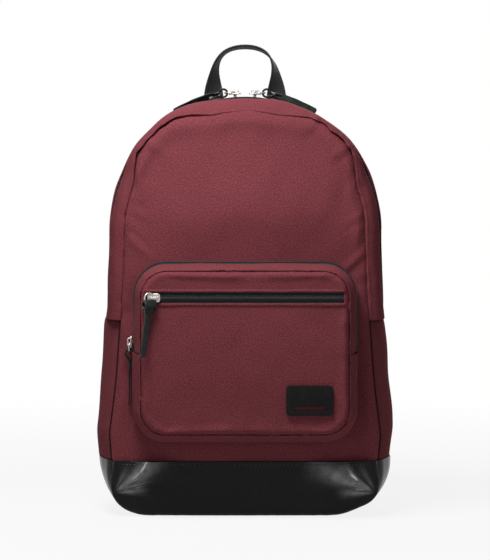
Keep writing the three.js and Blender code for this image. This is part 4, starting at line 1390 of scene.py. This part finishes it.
def makeSliders():
    for name, (hub, along, out, tilt) in sliderFrames().items():
        copyNode(name + "_slider", name + "_slider_metal", nickel, 0.35, 3, 30)
        spot = frameAt(Vector(hub) / metre, along, out) @ Matrix.Rotation(radians(tilt), 4, "Y")
        deselectAll()
        bpy.ops.mesh.primitive_torus_add(
            major_radius=hardware["ringRadius"] * metre, minor_radius=hardware["wire"] * metre,
            major_segments=56, minor_segments=16)
        ring = bpy.context.object
        ring.name = name + "_ring_metal"
        ring.data.transform(spot @ Matrix.Translation((-hardware["ringRadius"] * metre, 0, 0)))
        dress(ring, nickel, (name + "_ring",), name + "_ring")
        makePull(name, hub, along, out, tilt)


leatherPull = {
    "length": 55, "half": 3.5, "layer": 1.3, "loop": 4.1, "loopCentre": 1.7, "loopLayer": 2.3,
    "lift": 0.8, "twist": 1.2, "shortLayer": 17, "ringLevel": 6.1, "tapeLevel": 3.7,
    "loopHalf": {"main_left": 2.5, "main_right": 2.5, "pocket": 2.6, "slash": 6.4},
    "sway": {"main_left": 0, "main_right": 0, "pocket": 0.05, "slash": 0.16},
}


# A leather strip folded round the ring: its short lower layer, the loop, and the long upper layer
def makePull(name, hub, along, out, tilt):
    size = hardware["ringRadius"]
    level = leatherPull["ringLevel"]
    ringCircle = zips["tapeRadius"] + level
    drop = level - leatherPull["tapeLevel"] - bag["seamGap"]
    loop, centre = leatherPull["loop"], leatherPull["loopCentre"]
    if name == "slash":
        tilted = frameAt(Vector(hub) / metre, along, out) @ Matrix.Rotation(radians(tilt), 4, "Y")
        origin = tilted @ (Vector((-size, -size, 0)) * metre)
        spot = frameAt(origin / metre, (0, 0, 1), tilted.to_3x3() @ Vector((0, 0, 1)))
    else:
        spot = frameAt(Vector(hub) / metre, along, out) @ Matrix.Translation((-2 * size * metre, 0, 0))

    def rise(x):
        if not name.startswith("main"):
            return 0
        reach = 2 * size + x
        lowered = (drop - leatherPull["lift"]) * smooth(0, 25, x)
        return sqrt(ringCircle ** 2 - reach ** 2) - ringCircle - lowered

    path = []
    loopEnd = centre + 3.4
    loopTurn = 2.55
    lowerSteps, loopSteps, upperSteps = 8, 16, 35
    for x in evenly(leatherPull["shortLayer"], loopEnd, lowerSteps):
        path.append((-x, rise(x) - 0.5 - 1.9 * (1 - smooth(4, 11, x))))
    for turn in evenly(-loopTurn, loopTurn, loopSteps):
        path.append((loop * cos(turn) - centre, loop * sin(turn)))
    for x in evenly(loopEnd, leatherPull["length"], upperSteps):
        path.append((-x, rise(x) + 0.45 + 1.9 * (1 - smooth(4, 11, x)) + 0.3 * wobble(x * 0.12, 0, 61)))
    count = len(path) - 1

    def point(u, v):
        k = min(count, round(u * count))
        x, z = path[k]
        before, after = path[max(0, k - 1)], path[min(count, k + 1)]
        tangent = Vector((after[0] - before[0], 0, after[1] - before[1])).normalized()
        normal = Vector((-tangent.z, 0, tangent.x))
        reach = -x if k <= lowerSteps or k > lowerSteps + loopSteps + 1 else 0
        half = mix(leatherPull["loopHalf"][name], leatherPull["half"], smooth(6, 12, reach))
        half *= 1 - 0.16 * smooth(12, leatherPull["length"], reach)
        half *= 1 - 0.75 * smooth(leatherPull["length"] - 1.6, leatherPull["length"] + 0.9, reach) ** 2
        turn = 2 * pi * v
        across = half * max(-1, min(1, 1.25 * cos(turn)))
        thick = mix(leatherPull["loopLayer"], leatherPull["layer"], smooth(5, 14, reach))
        layer = thick / 2 * max(-1, min(1, 1.7 * sin(turn)))
        if name.startswith("main"):
            twist = leatherPull["twist"] * smooth(4, 17, reach)
            c, s = cos(twist), sin(twist)
            across, layer = across * c - layer * s, layer * c + across * s
            z += 0.2 * half * sin(abs(twist))
        across += leatherPull["sway"][name] * max(0, reach - 6)
        inner = Vector((x, across, z)) + normal * layer
        return spot @ (inner * metre) / metre

    pull = layCloth(name + "_pull_leather", count, 16, point)
    closeEnds(pull)
    dress(pull, pullLeather, (name + "_pull",), name + "_pull", 50)


# Haul handle
handle = {
    "half": 33.5, "top": 489, "width": 21, "thick": 2.2, "y": 57.5, "foot": 431.3,
    "shoulders": 1.65, "roundness": 0.9, "tilt": 9, "tabBottom": 418, "tabThick": 3.0, "tabOverlap": 2.5,
}


# The webbing rises from its two feet in a squared arch, and turns edge-on on the way up
def handleRun():
    steps = 150
    rise = handle["top"] - handle["thick"] / 2 - handle["foot"]
    run = []
    spots = []
    for k in range(steps + 1):
        turn = pi * (0.5 - 0.5 * cos(pi * k / steps))
        side = -1 if cos(turn) > 0 else 1
        x = side * handle["half"] * (1 - (1 - abs(cos(turn))) ** handle["shoulders"])
        spots.append((x, handle["foot"] + rise * max(0, sin(turn)) ** handle["roundness"]))
    for k, (x, z) in enumerate(spots):
        before, after = spots[max(0, k - 1)], spots[min(steps, k + 1)]
        lean = atan2(after[0] - before[0], after[1] - before[1])
        share = (z - handle["foot"]) / rise
        twist = radians(90 * (1 - (1 - min(1, share)) ** 1.75))
        if k > steps / 2:
            twist = pi - twist
        run.append((x, z, twist - radians(handle["tilt"]) * share ** 3, lean))
    return run


# A flat strip's section, with its edges thinned
def flatSection(v, width, thick):
    turn = 2 * pi * v
    across = width / 2 * max(-1, min(1, 1.12 * cos(turn)))
    edge = min(1, (1 - abs(across) / (width / 2)) * 9)
    return across, thick / 2 * max(-1, min(1, 3.5 * sin(turn))) * (0.35 + 0.65 * sqrt(max(0, edge)))


# Lids for a strip that is laid round a section
def closeEnds(piece):
    startEdit(piece)
    bpy.ops.mesh.select_mode(type="VERT")
    bpy.ops.mesh.select_all(action="SELECT")
    bpy.ops.mesh.remove_doubles(threshold=weldDistance)
    bpy.ops.mesh.select_all(action="DESELECT")
    bpy.ops.mesh.select_non_manifold()
    bpy.ops.mesh.fill_holes(sides=0)
    bpy.ops.mesh.select_all(action="SELECT")
    bpy.ops.mesh.normals_make_consistent(inside=False)
    endEdit()


def makeHandle():
    run = handleRun()
    count = len(run) - 1

    def point(u, v):
        x, z, twist, lean = run[min(count, round(u * count))]
        outward = Vector((cos(lean), 0, -sin(lean)))
        tangent = Vector((sin(lean), 0, cos(lean)))
        across = outward * cos(twist) + Vector((0, 1, 0)) * sin(twist)
        normal = tangent.cross(across).normalized()
        a, b = flatSection(v, handle["width"], handle["thick"])
        return Vector((x, handle["y"], z)) + across * a + normal * b

    loop = layCloth("haul_handle_webbing", count, 28, point)
    closeEnds(loop)
    dress(loop, handleWebbing, ("haul_handle",), "handle", 50)
    for side, turn in (("right", 1), ("left", -1)):
        def tab(u, v, turn=turn):
            z = mix(handle["tabBottom"], handle["foot"] + handle["tabOverlap"], u)
            a, b = flatSection(v, handle["width"], handle["tabThick"])
            return (turn * handle["half"] + a, handle["y"] + b, z)
        anchor = layCloth("handle_tab_" + side, 12, 28, tab)
        closeEnds(anchor)
        dress(anchor, handleWebbing, ("handle_anchor_" + side,), "bag", 50)


# The patch sits this far from where its solid has it
patchShift = (-2.8, 0, 6)


def makePatch():
    patch = copyNode("lash_patch", "patch_leather", patchLeather, 0.5, 3, 40)
    patch.data.transform(Matrix.Translation(Vector(patchShift) * metre))


makeSliders()
makeHandle()
makePatch()
print("hardware made")


# Back, straps and inside
back = {
    "pad": 6.5, "groove": 13, "rows": 5, "firstRow": 60, "rowPitch": 72, "rowDepth": 0.75, "middle": 215,
    "cloth": 1.8, "lift": 2.6, "columns": 300, "rings": 70, "bindingFront": 51.2, "bindingRear": 59.8,
    "bindingSunk": 3.3, "bindingThick": 0.8,
}


def backRim(share):
    station = stationAt(mix(-halfLength, halfLength, share))
    x, _, z = skinPoint(station, bag["backDepth"])
    return x, z


def backPoint(u, v):
    rimX, rimZ = backRim(u % 1)
    share = v ** 0.85
    x = rimX * share
    z = mix(back["middle"], rimZ, share)
    away = hypot(rimX - x, rimZ - z)
    edge = smooth(0, 16, away)
    groove = smooth(back["groove"] - 7, back["groove"] + 4, abs(x))
    lines = 1
    for k in range(back["rows"]):
        level = back["firstRow"] + k * back["rowPitch"]
        lines *= 1 - back["rowDepth"] * exp(-((z - level) / 5) ** 2) * smooth(8, 22, abs(x))
    pad = back["pad"] * edge * groove * lines
    roll = 0.35 * wobble(x * 0.05, z * 0.05, 71)
    return (x, bag["backDepth"] + back["lift"] + pad + roll * edge, z)


def makeBack():
    panel = layCloth(
        "back_padding", back["columns"], back["rings"], backPoint, (0, 30, back["middle"]), flat=True)
    closeSeams(panel, outwards=False)
    thicken(panel, back["cloth"])
    dress(panel, spacerMesh, ("back_panel",), "bag")
    binding = layCloth("back_binding", back["columns"], 8, bindingPoint, (0, 30, 250))
    thicken(binding, back["bindingThick"])
    dress(binding, zipTape, ("back_seam_binding",), "bag")


def bindingPoint(u, v):
    station = archStation(bag["baseLine"], u)
    y = mix(back["bindingFront"], back["bindingRear"], v)
    return skinPoint(station, y, -back["bindingSunk"] - 0.3 * sin(pi * v))


strap = {
    "top": (45, 87, 378), "bottom": (106, 87, 56), "bulge": 26, "padShare": 0.72,
    "topWidth": 62, "endWidth": 44, "pad": 12, "webbing": 25, "webThick": 2, "webShown": 1.7, "tail": 90,
    "lockStart": 12, "lockLength": 24, "lockThick": 4.4, "lockBar": 3, "lockGap": 0.3,
    "backSurface": 69, "wingThick": 2.8, "rootThick": 7.6, "piping": (4.2, 4.4),
}


def strapLine(share, turn):
    top, bottom = Vector(strap["top"]), Vector(strap["bottom"])
    point = top.lerp(bottom, share)
    point.y += strap["bulge"] * sin(pi * share) ** 2
    point.x *= turn
    return point


# A strip of sections along a path. Its width lies as near to the way aside as the path allows.
def stripAlong(name, path, widthAt, thickAt, aside=(1, 0, 0), sides=28, section=flatSection):
    points = [Vector(p) for p in path]
    count = len(points) - 1

    def point(u, v):
        k = min(count, round(u * count))
        tangent = (points[min(count, k + 1)] - points[max(0, k - 1)]).normalized()
        across = Vector(aside) - tangent * tangent.dot(Vector(aside))
        across.normalize()
        normal = tangent.cross(across).normalized()
        a, b = section(v, widthAt(u), thickAt(u))
        return points[k] + across * a + normal * b
    strip = layCloth(name, count, sides, point)
    closeEnds(strip)
    return strip


# A smooth curve through the points of a path
def refine(path, steps):
    points = [Vector(p) for p in path]
    fine = []
    for k in range(len(points) - 1):
        p0, p1, p2 = points[max(0, k - 1)], points[k], points[k + 1]
        p3 = points[min(len(points) - 1, k + 2)]
        for j in range(steps):
            t = j / steps
            fine.append(0.5 * ((2 * p1) + (p2 - p0) * t + (2 * p0 - 5 * p1 + 4 * p2 - p3) * t * t
                               + (3 * p1 - p0 - 3 * p2 + p3) * t ** 3))
    fine.append(points[-1])
    return fine


# A stuffed section whose edges are drawn in by a seam
def padSection(v, width, thick):
    turn = 2 * pi * v
    c, s = cos(turn), sin(turn)
    across = width / 2 * (abs(c) ** 0.7) * (1 if c > 0 else -1)
    edge = 1 - abs(across) / (width / 2)
    seam = 0.28 + 0.72 * min(1, edge * 3.4) ** 0.6
    return across, thick / 2 * s * seam


# Where webbing turns round a bar of the ladder lock, as pairs along the strap and away from it
def aroundBar(edge, sign):
    half = strap["lockThick"] / 2
    bend = strap["lockGap"] + strap["webThick"] / 2
    diagonal = bend * sqrt(0.5)
    side = [(edge, half + bend), (edge + sign * diagonal, half + diagonal), (edge + sign * bend, half)]
    return [(along, -away) for along, away in side] + side[::-1]


def roundSection(v, width, thick):
    return width / 2 * cos(2 * pi * v), thick / 2 * sin(2 * pi * v)


# A strip of webbing of one width
def layWebbing(name, path, aside):
    return stripAlong(name, path, lambda t: strap["webbing"], lambda t: strap["webShown"], aside)


def padWidth(share):
    return mix(strap["topWidth"], strap["endWidth"], smooth(0.2, 1, share)) - 1.5


def padThick(share):
    full = 0.72 + 0.28 * min(1, sin(pi * share) * 3)
    return strap["pad"] * full * (1 + 0.03 * wobble(share * 14, 0, 81))


# The padded part of a strap with its bound edges
def makeStrapPad(side, turn):
    bodyName = "strap_" + side
    steps = 90
    path = [strapLine(share, turn) for share in evenly(0, strap["padShare"], steps)]
    pad = stripAlong("strap_padding_" + side, path, padWidth, padThick, sides=40, section=padSection)
    dress(pad, spacerMesh, ("strap_pad_" + side,), bodyName)
    wide, thick = strap["piping"]
    for edge, sign in (("outer", 1), ("inner", -1)):
        rim = [p + Vector((sign * (padWidth(k / steps) / 2 - 0.6), 0, 0)) for k, p in enumerate(path)]
        piping = stripAlong("strap_binding_" + edge + "_" + side, rim, lambda t: wide, lambda t: thick,
                            sides=12, section=roundSection)
        dress(piping, zipTape, ("strap_pad_" + side,), bodyName)


# The ladder lock below the pad, the loop that holds it, and the webbing that runs through it
def makeStrapWebbing(side, turn):
    bodyName = "strap_" + side
    padEnd = strapLine(strap["padShare"], turn)
    down = (padEnd - strapLine(strap["padShare"] * (1 - 1 / 14), turn)).normalized()
    aside = (Vector((1, 0, 0)) - down * down.x).normalized()
    out = down.cross(aside).normalized()
    if out.y < 0:
        out.negate()

    def placed(pairs):
        return [padEnd + down * along + out * away for along, away in pairs]

    copyNode("ladder_lock_" + side, "ladder_lock_plastic_" + side,
             blackPlastic, 0.7, 3, 50)
    wrap = strap["lockThick"] / 2 + strap["webThick"] / 2 + strap["lockGap"]
    firstBar = strap["lockStart"] + strap["lockBar"]
    loop = [(-9, -wrap + 0.8), (0.5, -wrap), *aroundBar(firstBar, 1), (0.5, wrap), (-9, wrap - 0.8)]
    held = layWebbing("buckle_webbing_" + side, refine(placed(loop), 5), aside)
    dress(held, handleWebbing, ("buckle_loop_" + side,), bodyName)
    lastBar = strap["lockStart"] + strap["lockLength"] - strap["lockBar"]
    lowest = [strapLine(s, turn) for s in (1, 0.97, 0.94, 0.91, 0.88)]
    through = [(lastBar + strap["lockBar"] + 6, -wrap), *aroundBar(lastBar, -1), (lastBar + 10, wrap + 1.5),
               (lastBar + strap["tail"] / 2, wrap + 12), (lastBar + strap["tail"], wrap + 22)]
    webbing = layWebbing("lower_strap_" + side, refine(lowest + placed(through), 8), aside)
    dress(webbing, handleWebbing, ("lower_webbing_" + side,), bodyName)


# Where a strap is sewn to the bag, above and below
def makeStrapRoots(side, turn):
    x, y, z = strap["top"]
    offsets = ((66, 17), (75, 17), (82, 13.5), (y - 0.4, 8), (y + 0.3, -3))
    rootPath = [(turn * x, depth, z + rise) for depth, rise in offsets]
    root = stripAlong("strap_root_cloth_" + side, refine(rootPath, 8), lambda t: strap["topWidth"] - 2,
                      lambda t: strap["rootThick"], section=padSection, sides=36)
    dress(root, spacerMesh, ("strap_root_" + side,), "bag")
    bx, by, bz = strap["bottom"]
    foot = strap["backSurface"] + 0.3 + 1.5
    offsets = ((2, foot - 2, -36), (2, foot + 3, -26), (1, foot + 10, -12), (0, by, 0))
    wingPath = [(turn * (bx + wider), depth, bz + rise) for wider, depth, rise in offsets]
    wing = stripAlong("strap_wing_cloth_" + side, refine(wingPath, 10),
                      lambda t: mix(strap["endWidth"], strap["webbing"], t), lambda t: strap["wingThick"])
    dress(wing, burgundyCloth, ("strap_wing_" + side,), "bag")


def makeInside():
    sleeve = copyNode("laptop_sleeve", "sleeve_cloth", liningCloth, 1.2, 3, 40)
    copyNode("laptop_strap", "sleeve_strap", zipTape, 0.5, 2, 40)
    copyNode("slash_pocket_liner", "slash_liner_cloth", liningCloth, 0.3, 2, 40)
    board = frame["nodes"]["base_stiffener"]
    board.data.materials.clear()
    board.data.materials.append(blackPlastic)


makeBack()
for side, turn in (("right", 1), ("left", -1)):
    makeStrapPad(side, turn)
    makeStrapWebbing(side, turn)
    makeStrapRoots(side, turn)
makeInside()
print("back, straps and inside made")


# Stitches
sewing = {
    "lift": 0.1, "basePitch": 4.2, "baseLength": 2.6, "baseRadius": 0.4, "baseDrop": 2.6,
    "slashPitch": 3.0, "slashLength": 2.1, "slashRadius": 0.36, "slashAside": 3.0,
    "foldWidth": 2.6, "foldThick": 1.8, "foldAside": 1.3,
}


def stitchRow(name, run, pitch, length, material, bodyName, radius):
    deselectAll()
    bpy.ops.mesh.primitive_uv_sphere_add(segments=6, ring_count=4, radius=0.5 * metre)
    stitch = bpy.context.object
    stitch.data.transform(Matrix.Diagonal((length, radius * 2, radius * 2, 1)))
    lift = sewing["lift"]
    places = [frameAt(point + out * lift, along, out) for point, along, out in spaced(run, pitch)]
    row = scatter(name, stitch, places)
    dress(row, material, (), bodyName)


# The cloth's folded edges on both sides of the horizontal zip
def makeSlashFolds():
    for name, sign in (("high", 1), ("low", -1)):
        level = pocket["slash"] + sign * (pocket["slashHalfOpening"] + sewing["foldAside"])
        half = pocket["slashHalfLength"] + 1.5
        path = []
        for x in evenly(-half, half, 60):
            path.append((x, pocketFace(x, level) + 0.35, level + 0.25 * wobble(x * 0.04, sign, 57)))
        fold = stripAlong(
            "slash_fold_" + name, path, lambda t: sewing["foldWidth"], lambda t: sewing["foldThick"],
            (0, 0, 1), 14, padSection)
        dress(fold, burgundyCloth, (), "pocket_flap")


def makeStitches():
    half = seamHalfWidth(bag["baseLine"]) - 4
    z = bag["baseLine"] - sewing["baseDrop"]
    run = []
    for x in evenly(-half, half, 160):
        run.append(((x, frontFace(x, z) - base["overlap"] - baseFolds(x, z) - 0.2, z), (0, -1, 0)))
    stitchRow("base_stitches", run, sewing["basePitch"], sewing["baseLength"],
              blackThread, "bag", sewing["baseRadius"])
    for name, sign in (("slash_stitches_high", 1), ("slash_stitches_low", -1)):
        level = pocket["slash"] + sign * (pocket["slashHalfOpening"] + sewing["slashAside"])
        half = pocket["slashHalfLength"] - 2
        row = [((x, pocketFace(x, level) + 0.9, level), (0, -1, 0)) for x in evenly(-half, half, 100)]
        stitchRow(name, row, sewing["slashPitch"], sewing["slashLength"],
                  burgundyThread, "pocket_flap", sewing["slashRadius"])


makeSlashFolds()
makeStitches()
print("stitches sewn")


# Floor, lights and camera
studio = {
    "distance": 3500, "height": 435.7, "pitch": 0.0553, "focal": 3325.7, "image": 560, "sensor": 36,
    "floor": 14, "floorLevel": -0.6, "floorTone": 0.56, "roomLight": 0.075,
}


def seenRays(tree):
    path = node(tree, "LightPath")
    direct = maths(tree, "MAXIMUM", path.outputs["Is Camera Ray"], path.outputs["Is Glossy Ray"])
    return maths(tree, "MAXIMUM", direct, path.outputs["Is Transmission Ray"])


def mixShaders(tree, share, first, second):
    made = node(tree, "MixShader")
    for socket, value in zip(made.inputs, (share, first.outputs[0], second.outputs[0])):
        link(tree, value, socket)
    return made


# A pale floor that keeps the bag's shadow, and turns plain white away from it
def makeStage():
    deselectAll()
    bpy.ops.mesh.primitive_plane_add(size=studio["floor"], location=(0, 0, studio["floorLevel"] * metre))
    floor = bpy.context.object
    floor.name = "studio_floor"
    material = bpy.data.materials.new("paleFloor")
    material.use_nodes = True
    tree = material.node_tree
    tree.nodes.clear()
    output = node(tree, "OutputMaterial")
    tone = studio["floorTone"]
    plain = node(tree, "BsdfDiffuse", Color=(tone, tone, tone, 1))
    glow = node(tree, "Emission", Color=(1, 1, 1, 1), Strength=1.0)
    away = node(tree, "VectorMath", operation="LENGTH")
    link(tree, node(tree, "TexCoord").outputs["Object"], away.inputs[0])
    share = ranged(tree, away.outputs["Value"], 0.35, 1.3, 0.86, 1.0)
    fading = mixShaders(tree, share, plain, glow)
    final = mixShaders(tree, seenRays(tree), plain, fading)
    link(tree, final.outputs[0], output.inputs["Surface"])
    floor.data.materials.append(material)


def makeWorld():
    world = bpy.data.worlds.new("studio")
    bpy.context.scene.world = world
    world.use_nodes = True
    tree = world.node_tree
    tree.nodes.clear()
    output = node(tree, "OutputWorld")
    room = node(tree, "Background", Color=(1, 1, 1, 1), Strength=studio["roomLight"])
    seen = node(tree, "Background", Color=(1, 1, 1, 1), Strength=1.0)
    both = mixShaders(tree, seenRays(tree), room, seen)
    link(tree, both.outputs[0], output.inputs["Surface"])


# Each lamp's place and target in metres, width, height and power
lamps = {
    "softTop": ((-0.19, -0.42, 0.94), (0, -0.06, 0.34), 0.34, 0.34, 10.0),
    "glintLeft": ((-1.0, -1.9, 0.5), (-0.1, -0.06, 0.05), 0.2, 0.7, 2.5),
    "glintRight": ((1.0, -1.9, 0.5), (0.1, -0.06, 0.05), 0.34, 0.7, 3.8),
    "softBack": ((0.2, 1.8, 1.2), (0, 0, 0.25), 1.4, 1.4, 20),
}


def makeLamp(name, place, target, wide, tall, power):
    data = bpy.data.lights.new(name, "AREA")
    data.shape = "RECTANGLE"
    data.size = wide
    data.size_y = tall
    data.energy = power
    lamp = bpy.data.objects.new(name, data)
    bpy.context.scene.collection.objects.link(lamp)
    lamp.location = place
    lamp.rotation_euler = (Vector(target) - Vector(place)).to_track_quat("-Z", "Y").to_euler()


def makeCamera():
    data = bpy.data.cameras.new("camera")
    data.sensor_width = studio["sensor"]
    data.lens = studio["focal"] * studio["sensor"] / studio["image"]
    data.clip_end = 50
    camera = bpy.data.objects.new("camera", data)
    bpy.context.scene.collection.objects.link(camera)
    camera.location = (0, -studio["distance"] * metre, studio["height"] * metre)
    camera.rotation_euler = (pi / 2 - studio["pitch"], 0, 0)
    bpy.context.scene.camera = camera


makeStage()
makeWorld()
for name, lamp in lamps.items():
    makeLamp(name, *lamp)
makeCamera()
bpy.context.scene.view_settings.view_transform = "Standard"
print("stage, lights and camera set")
